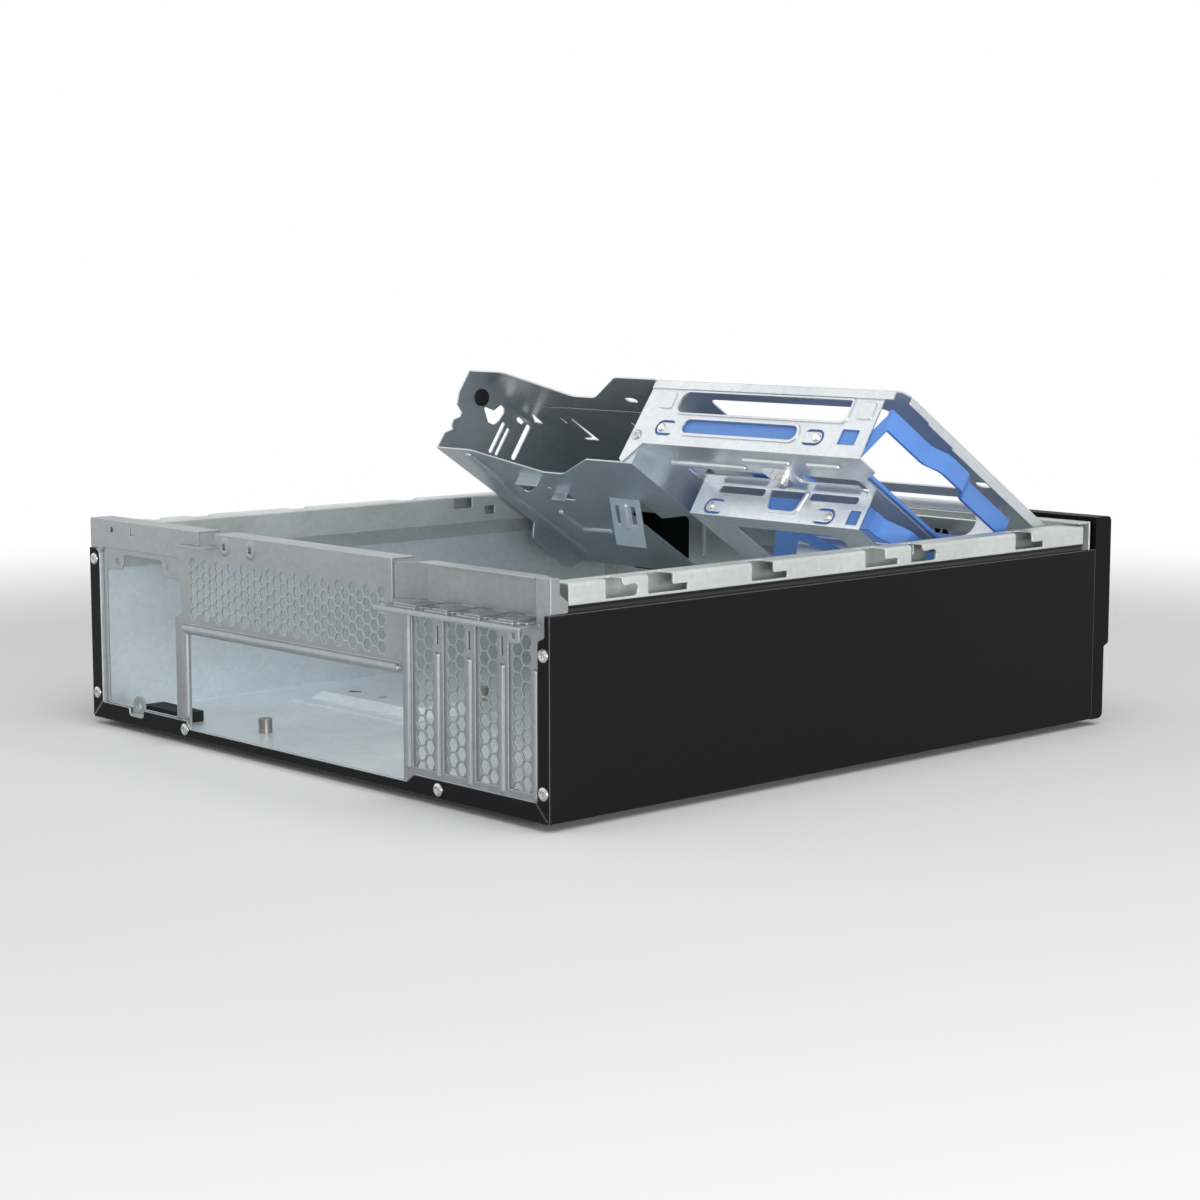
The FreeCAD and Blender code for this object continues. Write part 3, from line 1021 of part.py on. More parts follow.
def tray_left_wall():
    """Left wall of the optical bay, with its notched rear edge and a skirt below the floor near the front."""
    left = -CAGE_HALF
    rear = OPTICAL_REAR
    base = OPTICAL_BASE
    skirt = base - LEFT_SKIRT
    wall = [(rear, CAGE_TOP - SHEET)] + [(rear + y, base + z, 1.0) for y, z in WALL_EDGE]
    wall += [(DISK_REAR + SHEET, base), (rear + 84.0, base), (rear + 88.0, skirt, 3.0),
             (TRAY_FRONT - 6.0, skirt, 3.0), (TRAY_FRONT, base), (TRAY_FRONT, HINGE_Z - HINGE_EAR - 2.0, 3.0),
             (CAGE_FRONT, HINGE_Z - HINGE_EAR, 4.0), (CAGE_FRONT, CAGE_TOP - SHEET)]
    cuts = [
        circle("yz", left, HINGE_Y, HINGE_Z, HINGE_PIN_RADIUS + HINGE_PLAY),
        circle("yz", left, rear + GROMMET_Y, base + GROMMET_Z, GROMMET_NECK + RIVET_HOLE_PLAY),
        loop("yz", left, [(rear + y, base + z) for y, z in SHIELD], 1.0),
    ]
    for start, end, foot, head in WALL_SLITS:
        half = min(end - start, head - foot) / 2 - 0.05
        cuts.append(rectangle("yz", left, rear + start, rear + end, base + foot, base + head, half))
    return slab("yz", left, SHEET, loop("yz", left, wall), cuts)


def tray_floor():
    """Floor of the optical bay: scooped edge, recess, window, hanging tabs, and a slitted ramp."""
    left = -CAGE_HALF
    rear = DISK_REAR + SHEET
    origin = OPTICAL_REAR
    base = OPTICAL_BASE
    ramp_left = OPTICAL_RIGHT - RAMP_LEFT
    ramp_right = ramp_left + RAMP_WIDTH
    bend = origin + RAMP_START
    outline = scooped_edge(left, OPTICAL_RIGHT, rear, FLOOR_SCOOP, FLOOR_SCOOP_DEPTH)
    wing = origin + FLOOR_WING
    wing_left = ramp_right + FLOOR_WING_GAP
    outline += [(OPTICAL_RIGHT, rear), (OPTICAL_RIGHT, wing), (wing_left, wing + FLOOR_WING_SLANT),
                (wing_left, bend), (ramp_left, bend), (ramp_left, TRAY_FRONT), (left, TRAY_FRONT)]
    window = FLOOR_WINDOW
    holes = [
        loop("xy", base, [(left + x, origin + y) for x, y in FLOOR_RECESS], 2.0),
        rectangle("xy", base, left + window[0], left + window[1], origin + window[2], origin + window[3], 1.0),
        circle("xy", base, left + 56.5, origin + 38.2, 1.3),
        rectangle("xy", base, ramp_left + 0.4, ramp_left + 1.4, bend - 17.0, bend - 1.0),
    ]
    pieces = [slab("xy", base, SHEET, loop("xy", base, outline), holes)]
    for start, end, back, drop in FLOOR_TABS:
        y = origin + back
        pieces.append(block(left + start, left + end, y, y + SHEET, base - drop, base + SHEET))
    fall = [(bend - 1.0, base), (bend, base), (bend + RAMP_FALL, base - RAMP_FALL)]
    ramp = folded("yz", ramp_left, RAMP_WIDTH, fall)
    for start, end in ((3.3, 6.0), (14.7, 18.0)):
        slit = block(ramp_left + start, ramp_left + end, bend + 3.0, bend + 10.0, base - RAMP_FALL, base)
        ramp = ramp.cut(slit)
    middle = (ramp_left + ramp_right) / 2
    rib = capsule(V(middle, bend + 3.0, base - 2.6), V(middle, bend + 11.0, base - 10.6), 1.4)
    sheet = fuse(pieces + [ramp, rib])
    below = beyond(2, base, -1)
    sheet = pressed_bead(sheet, bead_runs(SHORT_BEAD, left, origin, base), CAGE_BEAD, below)
    return pressed_bead(sheet, bead_runs(LONG_BEAD, left, origin, base), CAGE_BEAD, below)


def optical_tray():
    """Lower sheet of the optical bay: left wall, floor, right wall and the edge riveted to the disk bay."""
    roof = CAGE_TOP - SHEET
    rear = DISK_REAR + SHEET
    base = OPTICAL_BASE
    inside = OPTICAL_RIGHT - SHEET
    wing = OPTICAL_REAR + FLOOR_WING
    right = [(rear, roof), (rear, base), (wing, base), (wing + 2.0, DISK_BASE, 2.0), (TRAY_FRONT, DISK_BASE),
             (TRAY_FRONT, roof)]
    slots = []
    for start in (50.0, 90.0):
        y = OPTICAL_REAR + start
        slots.append(rectangle("yz", inside, y, y + 22.0, base + 20.0, base + 25.0, 2.0))
    right_wall = slab("yz", inside, SHEET, loop("yz", inside, right), slots)
    edge = rectangle("xz", rear, OPTICAL_RIGHT - FLANGE_LAP, OPTICAL_RIGHT, base, roof)
    hole = circle("xz", rear, CAGE_RIVET_X, CAGE_RIVET_Z, RIVET_SHANK)
    return fuse([tray_left_wall(), tray_floor(), right_wall, slab("xz", rear, SHEET, edge, [hole])])


def spring_slit(plane, level, thickness, u, v, side):
    """The U-shaped slit that frees a spring tongue round a stud; the arms run to the side given."""
    outer = 4.2
    inner = 2.9
    reach = 9.0 * side
    tail = 12.0 * side
    big = rectangle(plane, level, min(u - outer, u + reach), max(u + outer, u + reach),
                    v - outer, v + outer, outer - 0.05)
    small = rectangle(plane, level, min(u - inner, u + tail), max(u + inner, u + tail),
                      v - inner, v + inner, inner - 0.05)
    return slab(plane, level, thickness, big).cut(slab(plane, level, thickness, small))


def stud(x, y, z, outward):
    """A turned drive stud: head outside the spring tongue, pin reaching into the carrier."""
    profile = [(0.0, 1.0), (STUD_HEAD - 0.7, 1.0), (STUD_HEAD, 0.0), (STUD_RADIUS, 0.0),
               (STUD_RADIUS, -4.2), (0.0, -4.6)]
    return turned(profile, V(x, y, z), V(0, outward, 0))


def bay_walls(left, right, rear, front, base, top, stud_x, stud_z, rear_cuts, front_cuts):
    """Rear wall, floor edges and front wall shared by both drive bays, with their spring tongues."""
    walls = []
    for face, cuts in ((rear, rear_cuts), (front - SHEET, front_cuts)):
        wall = slab("xz", face, SHEET, rectangle("xz", face, left, right, base, top), cuts)
        for x, side in zip(stud_x, (1, -1)):
            wall = wall.cut(spring_slit("xz", face, SHEET, x, stud_z, side))
            bore = Part.makeCylinder(STUD_RADIUS + RIVET_HOLE_PLAY, SHEET, V(x, face, stud_z), V(0, 1, 0))
            wall = wall.cut(bore)
        walls.append(wall)
    return walls


def disk_bay():
    """The bay of the large drive: rear wall, floor and front wall, open above and to the right."""
    left = OPTICAL_RIGHT
    roof = CAGE_TOP - SHEET
    base = DISK_BASE
    rim_face = DISK_REAR - RIM_RISE

    def window(level, edge):
        x0 = left + 15.0 - edge
        x1 = DISK_RIGHT - 17.5 + edge
        z0 = base + 18.0 - edge
        z1 = base + 29.4 + edge
        return loop("xz", level, [(x0, z0, 5.0), (x1, z0, 4.0), (x1, z1, 1.5), (x0, z1, 5.0)])

    def finger_slot(level, edge):
        return rectangle("xz", level, left + 24.5 - edge, left + 99.0 + edge,
                         base + 7.0 - edge, base + 14.5 + edge, 3.7 + edge)

    rear_cuts = [
        window(DISK_REAR, 0.0),
        finger_slot(DISK_REAR, 0.0),
        rectangle("xz", DISK_REAR, DISK_RIGHT - 17.0, DISK_RIGHT - 6.5, base + 6.6, base + 14.5, 0.6),
    ]
    rims = [slab("xz", rim_face, SHEET, window(rim_face, WINDOW_RIM), [window(rim_face, 0.0)]),
            slab("xz", rim_face, SHEET, finger_slot(rim_face, RIM_WIDTH), [finger_slot(rim_face, 0.0)])]
    face = DISK_FRONT - SHEET
    front_cuts = [rectangle("xz", face, left + 58.0, DISK_RIGHT - 12.9, base + 15.9, base + 29.1, 6.5),
                  rectangle("xz", face, left + 24.5, left + 99.0, base + 6.0, base + 12.5, 3.2)]
    walls = bay_walls(left, DISK_RIGHT, DISK_REAR, DISK_FRONT, base, roof, DISK_STUD_X, DISK_STUD_Z,
                      rear_cuts, front_cuts)
    inset = DISK_RIGHT - DISK_FLOOR_INSET
    ear = DISK_REAR + DISK_FLOOR_EAR
    floor = loop("xy", base, [(left, DISK_REAR), (DISK_RIGHT, DISK_REAR), (DISK_RIGHT, ear, 4.0),
                              (inset, ear + 6.0, 3.0), (inset, DISK_FRONT), (left, DISK_FRONT)])
    openings = [
        rectangle("xy", base, left + 14.0, left + 68.0, DISK_REAR + 22.0, DISK_REAR + 33.0, 3.0),
        rectangle("xy", base, left + 91.0, inset - 6.0, DISK_REAR + 21.0, DISK_REAR + 33.0, 3.0),
        rectangle("xy", base, left + 24.0, inset - 14.0, DISK_REAR + 48.0, DISK_FRONT - 16.0, 5.0),
        circle("xy", base, BAY_SCREW_X, BAY_SCREW_Y, BAY_SCREW_RADIUS + RIVET_HOLE_PLAY),
    ]
    sheet = slab("xy", base, SHEET, floor, openings)
    below = beyond(2, base, -1)
    for start, end, back in DISK_BEADS:
        run = bead_runs([(start, back), (end, back)], left, DISK_REAR, base)
        sheet = pressed_bead(sheet, run, CAGE_BEAD, below)
    lap_left = left - FLANGE_LAP
    lap = loop("xz", DISK_REAR, [(lap_left, roof), (lap_left - 1.7, OPTICAL_BASE + 2.0, 1.5),
                                 (lap_left + 1.0, OPTICAL_BASE, 1.0), (left + 2.0, base), (left + 2.0, roof)])
    hole = circle("xz", DISK_REAR, CAGE_RIVET_X, CAGE_RIVET_Z, RIVET_SHANK)
    pieces = walls + rims + [sheet, slab("xz", DISK_REAR, SHEET, lap, [hole])]
    for x in (left + 6.5, DISK_RIGHT - 7.5):
        pad = rectangle("xz", rim_face, x - 4.5, x + 4.5, base + 20.0, base + 29.0, 1.5)
        pieces.append(slab("xz", rim_face, SHEET, pad))
    return fuse(pieces)


def small_bay():
    """The bay of the small drive, hung under the disk bay by its folded top edges and a screw tongue."""
    roof = DISK_BASE
    base = SMALL_BASE
    left = SMALL_LEFT
    edge = roof - SHEET
    rim_face = SMALL_REAR - RIM_RISE

    def tongue_window(level, rim):
        head = edge - 0.8
        foot = base + 5.8 - rim
        return loop("xz", level, [(left + 47.0 - rim, head, 0.6), (left + 49.5 - rim, foot, 3.0 + rim),
                                  (left + 67.0 + rim, foot, 3.0 + rim), (left + 69.5 + rim, head, 0.6)])

    rear_cuts = [
        rectangle("xz", SMALL_REAR, left + 13.0, left + 43.5, base + 12.6, base + 16.4, 1.8),
        rectangle("xz", SMALL_REAR, left + 72.5, left + 103.0, base + 12.6, base + 16.4, 1.8),
        rectangle("xz", SMALL_REAR, SMALL_RIGHT - 9.5, SMALL_RIGHT - 2.5, base + 2.0, base + 9.5, 0.6),
        tongue_window(SMALL_REAR, 0.0),
    ]
    rim = slab("xz", rim_face, SHEET, tongue_window(rim_face, RIM_WIDTH))
    rim = rim.cut(slab("xz", rim_face, SHEET, tongue_window(rim_face, 0.0)))
    walls = bay_walls(left, SMALL_RIGHT, SMALL_REAR, SMALL_FRONT, base, roof, SMALL_STUD_X, SMALL_STUD_Z,
                      rear_cuts, [])
    floor = slab("xy", base, SHEET, rectangle("xy", base, left, SMALL_RIGHT, SMALL_REAR, SMALL_FRONT),
                 [rectangle("xy", base, left + 22.0, left + 90.0, SMALL_REAR + 10.0, SMALL_FRONT - 12.0, 6.0)])
    hem = block(left + 2.0, SMALL_RIGHT - 2.0, SMALL_REAR - 9.0, SMALL_REAR + SHEET, edge, roof)
    tongue = rectangle("xy", edge, BAY_SCREW_X - SCREW_TONGUE, BAY_SCREW_X + SCREW_TONGUE,
                       BAY_SCREW_Y - SCREW_TONGUE, SMALL_REAR - 1.0, 6.0)
    bore = Part.makeCylinder(BAY_SCREW_RADIUS + RIVET_HOLE_PLAY, SHEET, V(BAY_SCREW_X, BAY_SCREW_Y, edge))
    rear_edge = fuse([hem, slab("xy", edge, SHEET, tongue)]).cut(bore)
    front_edge = block(left + 2.0, SMALL_RIGHT - 2.0, SMALL_FRONT - 13.0, SMALL_FRONT, edge, roof)
    return fuse(walls + [rim, floor, rear_edge, front_edge])


def bay_screw():
    """Washer-head screw that joins the two drive bays."""
    grip = 2 * SHEET
    head = BAY_SCREW_HEAD
    profile = [(0.0, -4.0), (head - 0.5, -4.0), (head, -3.4), (head, -1.0), (BAY_SCREW_WASHER, -1.0),
               (BAY_SCREW_WASHER, 0.0), (BAY_SCREW_RADIUS, 0.0), (BAY_SCREW_RADIUS, grip), (0.0, grip)]
    return turned(profile, V(BAY_SCREW_X, BAY_SCREW_Y, DISK_BASE - SHEET), V(0, 0, 1))


def carrier(left, end, rear, front, base, stud_x, stud_z, wall_right, rise, brace_right, arm_height, grip,
            bulge):
    """A blue drive carrier: two arms joined by a floor brace and a sprung handle with a finger grip."""
    wall = CARRIER_WALL
    low = base + SHEET + CARRIER_PLAY
    high = low + arm_height
    y0 = rear + SHEET + CARRIER_PLAY
    y1 = front - SHEET - CARRIER_PLAY
    grip_low = low + rise
    grip_high = grip_low + HANDLE_HEIGHT
    knee = wall_right - 2.7
    arm = [(left, low, 1.0), (knee, low, 2.0), (end, grip_low, 1.0), (end, grip_high), (knee + 2.0, high, 2.0),
           (left, high, 1.0)]
    pieces = []
    for face in (y0, y1 - wall):
        holes = [circle("xz", face, x, stud_z, STUD_RADIUS + CARRIER_PLAY) for x in stud_x]
        pieces.append(slab("xz", face, wall, loop("xz", face, arm), holes))
    span = y1 - y0
    turns = [y0 + share * span for share in grip]
    bump = [(end, turns[0]), (end + bulge, turns[1]), (end + bulge, turns[2]), (end, turns[3])]
    outer = [(end, y0)] + [(x, y, GRIP_ROUND) for x, y in bump] + [(end, y1)]
    inner = [(end - wall, y0)] + [(x - wall, y, GRIP_ROUND) for x, y in bump] + [(end - wall, y1)]
    pieces.append(slab("xy", grip_low, HANDLE_HEIGHT, loop("xy", grip_low, outer + inner[::-1])))
    middle = (left + wall_right) / 2
    frame_holes = [
        [(left + 8.0, y0 + 8.0), (middle - 6.0, y0 + 8.0), (left + 8.0, y1 - 16.0)],
        [(middle + 6.0, y0 + 8.0), (brace_right - 8.0, y0 + 8.0), (brace_right - 8.0, y1 - 16.0)],
        [(middle, y0 + 18.0), (brace_right - 16.0, y1 - 8.0), (left + 16.0, y1 - 8.0)],
    ]
    brace = rectangle("xy", low, left, brace_right, y0, y1, 1.0)
    pieces.append(slab("xy", low, 1.6, brace, [loop("xy", low, hole, 2.0) for hole in frame_holes]))
    return fuse(pieces)


def upper_carrier():
    return carrier(OPTICAL_RIGHT + 4.0, CAGE_HALF - UPPER_HANDLE_INSET, DISK_REAR, DISK_FRONT, DISK_BASE,
                   DISK_STUD_X, DISK_STUD_Z, DISK_RIGHT, HANDLE_RISE, DISK_RIGHT - 8.0,
                   UPPER_ARM, UPPER_GRIP, UPPER_BUMP)


def lower_carrier():
    return carrier(SMALL_LEFT + 3.0, SMALL_RIGHT + LOWER_HANDLE_REACH, SMALL_REAR, SMALL_FRONT, SMALL_BASE,
                   SMALL_STUD_X, SMALL_STUD_Z, SMALL_RIGHT, 0.0, SMALL_RIGHT - 6.0,
                   LOWER_ARM, LOWER_GRIP, LOWER_BUMP)


def carrier_studs(stud_x, stud_z, rear, front):
    studs = []
    for x in stud_x:
        studs.append(stud(x, rear, stud_z, -1))
        studs.append(stud(x, front, stud_z, 1))
    return Part.makeCompound(studs)


def cage_rivet():
    return rivet(V(CAGE_RIVET_X, DISK_REAR, CAGE_RIVET_Z), V(0, -1, 0), 2 * SHEET)


def rubber_grommet():
    """Soft bumper pushed through the left wall of the optical bay."""
    profile = [(0.0, 2.2), (3.6, 2.2), (4.6, 1.2), (4.6, 0.0), (GROMMET_NECK, 0.0), (GROMMET_NECK, -SHEET),
               (4.2, -SHEET), (4.2, -2 * SHEET), (0.0, -2 * SHEET)]
    base = V(-CAGE_HALF + SHEET, OPTICAL_REAR + GROMMET_Y, OPTICAL_BASE + GROMMET_Z)
    return turned(profile, base, V(1, 0, 0))


def save(name, shape):
    """Move a piece to the part's own frame and write it."""
    placed = shape.copy()
    placed.translate(FRAME_SHIFT)
    valid = placed.isValid()
    print(name, "solids", len(placed.Solids), "volume", round(placed.Volume, 1), "valid", valid)
    placed.exportStep("parts/" + name + ".step")


def main():
    os.makedirs("parts", exist_ok=True)
    pin = hinge_pin()
    save("outer_shell", outer_shell())
    save("rear_panel", rear_panel())
    save("side_rail_right", side_rail(ROUND_NOTCHES))
    save("side_rail_left", mirrored(side_rail(ROUND_NOTCHES[:1])))
    save("front_panel", front_panel())
    save("front_bezel", front_bezel())
    save("bay_blank", bay_blank())
    save("power_button", power_button())
    save("power_switch", power_switch())
    save("port_board", port_board())
    save("data_ports", data_ports())
    for i, left in enumerate(SLOT_LEFTS):
        save("slot_cover_" + str(i + 1), slot_cover(left))
    save("slot_clamp", slot_clamp())
    save("board_standoffs", board_standoffs())
    save("floor_plate", floor_plate())
    save("support_pad", support_pad())
    save("rear_rivets", rear_rivets())
    save("rubber_feet", rubber_feet())
    save("hinge_pin_right", pin)
    save("hinge_pin_left", mirrored(pin))
    save("cage_top", raised(cage_top()))
    save("optical_tray", raised(optical_tray()))
    save("disk_bay", raised(disk_bay()))
    save("small_bay", raised(small_bay()))
    save("disk_carrier", raised(upper_carrier()))
    save("small_carrier", raised(lower_carrier()))
    save("disk_studs", raised(carrier_studs(DISK_STUD_X, DISK_STUD_Z, DISK_REAR, DISK_FRONT)))
    save("small_studs", raised(carrier_studs(SMALL_STUD_X, SMALL_STUD_Z, SMALL_REAR, SMALL_FRONT)))
    save("bay_screw", raised(bay_screw()))
    save("cage_rivet", raised(cage_rivet()))
    save("rubber_grommet", raised(rubber_grommet()))


main()
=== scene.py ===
"""Finishes, camera and stage of a slim computer case with its lid off and its drive cage raised."""

import math

import bpy
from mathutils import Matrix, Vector


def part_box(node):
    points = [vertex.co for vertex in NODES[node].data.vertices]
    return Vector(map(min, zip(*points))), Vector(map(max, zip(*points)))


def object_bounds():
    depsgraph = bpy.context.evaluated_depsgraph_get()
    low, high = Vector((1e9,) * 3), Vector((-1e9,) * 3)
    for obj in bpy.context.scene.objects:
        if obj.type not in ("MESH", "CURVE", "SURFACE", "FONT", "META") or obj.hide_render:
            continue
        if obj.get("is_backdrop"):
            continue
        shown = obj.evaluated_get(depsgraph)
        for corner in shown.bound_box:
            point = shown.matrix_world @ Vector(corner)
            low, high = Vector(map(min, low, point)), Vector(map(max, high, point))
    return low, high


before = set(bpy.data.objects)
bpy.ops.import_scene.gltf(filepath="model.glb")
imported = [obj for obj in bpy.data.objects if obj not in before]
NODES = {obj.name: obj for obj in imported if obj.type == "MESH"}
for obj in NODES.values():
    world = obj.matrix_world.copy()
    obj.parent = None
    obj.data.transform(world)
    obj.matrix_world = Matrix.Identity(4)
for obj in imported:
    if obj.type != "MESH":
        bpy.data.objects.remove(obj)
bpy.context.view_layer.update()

bl_info = {
    "name": "Slim Computer Case",
    "version": (1, 0, 0),
    "blender": (4, 5, 0),
    "location": "3D View > Sidebar > Case",
    "description": "Sheet metal, paint and plastic finishes, camera and stage of a slim computer case",
    "category": "Object",
}

# Pieces that share a finish.
REAR_SHEETS = ["rear_panel", "slot_clamp", "slot_cover_1", "slot_cover_2", "slot_cover_3", "slot_cover_4"]
RAILS = ["side_rail_left", "side_rail_right"]
CAGE_SHEETS = ["cage_top", "disk_bay"]
CARRIERS = ["disk_carrier", "small_carrier"]
FRONT_PLASTICS = ["front_bezel", "bay_blank", "power_button", "power_switch"]
FASTENERS = ["disk_studs", "small_studs", "bay_screw", "hinge_pin_left", "hinge_pin_right", "data_ports"]
RIVETS = ["rear_rivets", "cage_rivet"]
RUBBERS = ["rubber_feet", "support_pad", "rubber_grommet"]

ORIGIN = (0.0, 0.0, 0.0)
WHITE = (1.0, 1.0, 1.0, 1.0)

# The darkest and lightest share of a tone that a finish shows.
SHEET_SHADES = (0.9, 1.1)
INSIDE_SHADES = (0.92, 1.08)
PAINT_SHADES = (0.8, 1.25)
PLASTIC_SHADES = (0.9, 1.12)

# The least and most by which a finish departs from its roughness; for the paint, its roughness itself.
SHEET_ROUGH = (-0.08, 0.10)
INSIDE_ROUGH = (-0.05, 0.10)
PLASTIC_ROUGH = (-0.05, 0.07)
PAINT_ROUGH = (0.52, 0.62)

# How much smoother the sheets of the cage are than the others.
CAGE_POLISH = 0.04

# The finest relief: its height in metres, and how strongly it shows.
SHEET_RELIEF = 0.0002
SHEET_BUMP = 0.05
PAINT_RELIEF = 0.00012
PAINT_BUMP = 0.35
PLASTIC_RELIEF = 0.0001

# Edges: the radius in metres that softens them, and the tone and share of the painted highlight along them on bare
# sheet and on paint.
SHEET_EDGE = 0.0006
SHELL_EDGE = 0.0009
EDGE_SAMPLES = 4
EDGE_HIGHLIGHT_TONE = (0.80, 0.82, 0.83, 1.0)
EDGE_HIGHLIGHT_SHARE = 0.7
PAINT_EDGE_HIGHLIGHT_TONE = (0.32, 0.32, 0.33, 1.0)
PAINT_EDGE_HIGHLIGHT_SHARE = 0.8

# How far the painted shade on a rail's foot reaches, in metres, up from the shell's top edge and in from its
# sides.
RAIL_SHADE_BAND = 0.0031

# The floor lies just below the feet, and fades between two shares of its radius.
FLOOR_GAP = 0.0002
FLOOR_SIDES = 96
FLOOR_MOTTLE = 0.01
FLOOR_FADE = (0.45, 0.98)

SENSOR_WIDTH = 36.0

# Grid on which the nodes of a material stand in the node editor.
NODE_COLUMNS = 6
NODE_WIDTH = 220
NODE_HEIGHT = 360


class CaseFinish(bpy.types.PropertyGroup):
    """Colours and gloss of the case's finishes."""

    # Painted shade: the rear sheets' zinc is a darker copy of the cage's, for the dimmer light on the rear face.
    rear_painted_shade_tone: bpy.props.FloatVectorProperty(
        name="Rear Zinc Painted Shade Tone", description="Colour of the galvanised rear panel and slot covers", subtype="COLOR",
        size=3, default=(0.29, 0.31, 0.32), min=0.0, max=1.0)
    rail_tone: bpy.props.FloatVectorProperty(
        name="Rail Zinc Tone", description="Colour of the galvanised rails and front wall", subtype="COLOR",
        size=3, default=(0.58, 0.615, 0.595), min=0.0, max=1.0)
    # Partly the bare zinc's own colour, partly painted light that lightens it and a bluish painted reflection.
    inside_zinc_and_painted_light_tone: bpy.props.FloatVectorProperty(
        name="Inside Zinc And Painted Light Tone", description="Colour of the bare inside of the shell", subtype="COLOR",
        size=3, default=(0.76, 0.835, 0.87), min=0.0, max=1.0)
    # Painted light: the cage's zinc is a lighter copy of the rear sheets', tinted blue with a painted reflection.
    cage_painted_light_tone: bpy.props.FloatVectorProperty(
        name="Cage Zinc Painted Light Tone", description="Colour of the cage's top and its upper drive bay", subtype="COLOR",
        size=3, default=(0.60, 0.635, 0.66), min=0.0, max=1.0)
    # Painted light: the lower bay's zinc is a still lighter copy of the cage's, for light on its wall below the
    # upper bay.
    lower_bay_painted_light_tone: bpy.props.FloatVectorProperty(
        name="Lower Bay Painted Light Tone", description="Colour of the lower drive bay's sheet, lightened with painted light",
        subtype="COLOR", size=3, default=(0.79, 0.83, 0.86), min=0.0, max=1.0)
    # Painted shade: the optical tray's zinc is a darker, blue-green copy of the cage's, for the shade under the
    # raised cage.
    tray_painted_shade_tone: bpy.props.FloatVectorProperty(
        name="Tray Painted Shade Tone", description="Colour of the optical bay's sheet, darkened with painted shade", subtype="COLOR",
        size=3, default=(0.45, 0.51, 0.545), min=0.0, max=1.0)
    zinc_roughness: bpy.props.FloatProperty(
        name="Zinc Roughness", description="Roughness of the galvanised sheet", subtype="FACTOR",
        default=0.34, min=0.0, max=1.0)
    zinc_metal: bpy.props.FloatProperty(
        name="Zinc Metal", description="Share of mirror-like reflection in the fixed sheets", subtype="FACTOR",
        default=0.6, min=0.0, max=1.0)
    cage_metal: bpy.props.FloatProperty(
        name="Cage Metal", description="Share of mirror-like reflection in the sheets of the cage",
        subtype="FACTOR", default=0.75, min=0.0, max=1.0)
    bright_tone: bpy.props.FloatVectorProperty(
        name="Fastener Tone", description="Colour of studs, screws, pins and port shells", subtype="COLOR", size=3,
        default=(0.72, 0.71, 0.69), min=0.0, max=1.0)
    rivet_tone: bpy.props.FloatVectorProperty(
        name="Rivet Tone", description="Colour of the blind rivets", subtype="COLOR", size=3,
        default=(0.50, 0.50, 0.49), min=0.0, max=1.0)
    standoff_tone: bpy.props.FloatVectorProperty(
        name="Standoff Tone", description="Colour of the turned board standoffs", subtype="COLOR", size=3,
        default=(0.30, 0.285, 0.26), min=0.0, max=1.0)
    paint_tone: bpy.props.FloatVectorProperty(
        name="Paint Tone", description="Colour of the coated shell", subtype="COLOR", size=3,
        default=(0.0062, 0.0062, 0.0070), min=0.0, max=1.0)
    plastic_tone: bpy.props.FloatVectorProperty(
        name="Front Plastic Tone", description="Colour of the moulded front", subtype="COLOR", size=3,
        default=(0.0055, 0.0058, 0.0062), min=0.0, max=1.0)
    carrier_tone: bpy.props.FloatVectorProperty(
        name="Carrier Tone", description="Colour of the drive carriers", subtype="COLOR", size=3,
        default=(0.11, 0.28, 0.72), min=0.0, max=1.0)
    rubber_tone: bpy.props.FloatVectorProperty(
        name="Rubber Tone", description="Colour of feet, pad and bumper", subtype="COLOR", size=3,
        default=(0.012, 0.012, 0.013), min=0.0, max=1.0)
    board_tone: bpy.props.FloatVectorProperty(
        name="Board Tone", description="Colour of the port board", subtype="COLOR", size=3,
        default=(0.02, 0.12, 0.05), min=0.0, max=1.0)


class CaseView(bpy.types.PropertyGroup):
    """Camera, light and floor of the stage."""

    camera_place: bpy.props.FloatVectorProperty(
        name="Camera Place", description="Where the camera stands", subtype="TRANSLATION", unit="LENGTH", size=3,
        default=(0.89280, -0.81588, 0.21879))
    camera_pitch: bpy.props.FloatProperty(
        name="Pitch", description="How far the camera looks down", subtype="ANGLE", default=0.13019)
    camera_yaw: bpy.props.FloatProperty(
        name="Yaw", description="How far the camera is turned from the rear of the case", subtype="ANGLE",
        default=0.82723)
    lens: bpy.props.FloatProperty(
        name="Focal Length", description="Focal length in millimetres on a 36 mm sensor", default=75.867, min=1.0)
    key: bpy.props.FloatProperty(
        name="Rear Light", description="Power of the large soft light behind and to the left of the case",
        unit="POWER", default=9.0, min=0.0)
    overhead: bpy.props.FloatProperty(
        name="Overhead Light", description="Power of the soft light above the case", unit="POWER",
        default=19.0, min=0.0)
    side: bpy.props.FloatProperty(
        name="Side Light", description="Power of the soft light to the right of the case", unit="POWER",
        default=13.0, min=0.0)
    ambient: bpy.props.FloatProperty(
        name="Ambient", description="Strength of the surrounding light", subtype="FACTOR", default=0.2, min=0.0)
    floor_radius: bpy.props.FloatProperty(
        name="Floor Radius", description="Radius of the floor", subtype="DISTANCE", unit="LENGTH", default=0.95,
        min=0.1)
    floor_tone: bpy.props.FloatProperty(
        name="Floor Tone", description="Brightness of the pale floor", subtype="FACTOR", default=0.90, min=0.0,
        max=1.0)


def feed(tree, node, inputs):
    """Give a node's inputs their values; a value that is a socket is linked."""
    for label, value in inputs.items():
        if isinstance(value, bpy.types.NodeSocket):
            tree.links.new(value, node.inputs[label])
        else:
            node.inputs[label].default_value = value


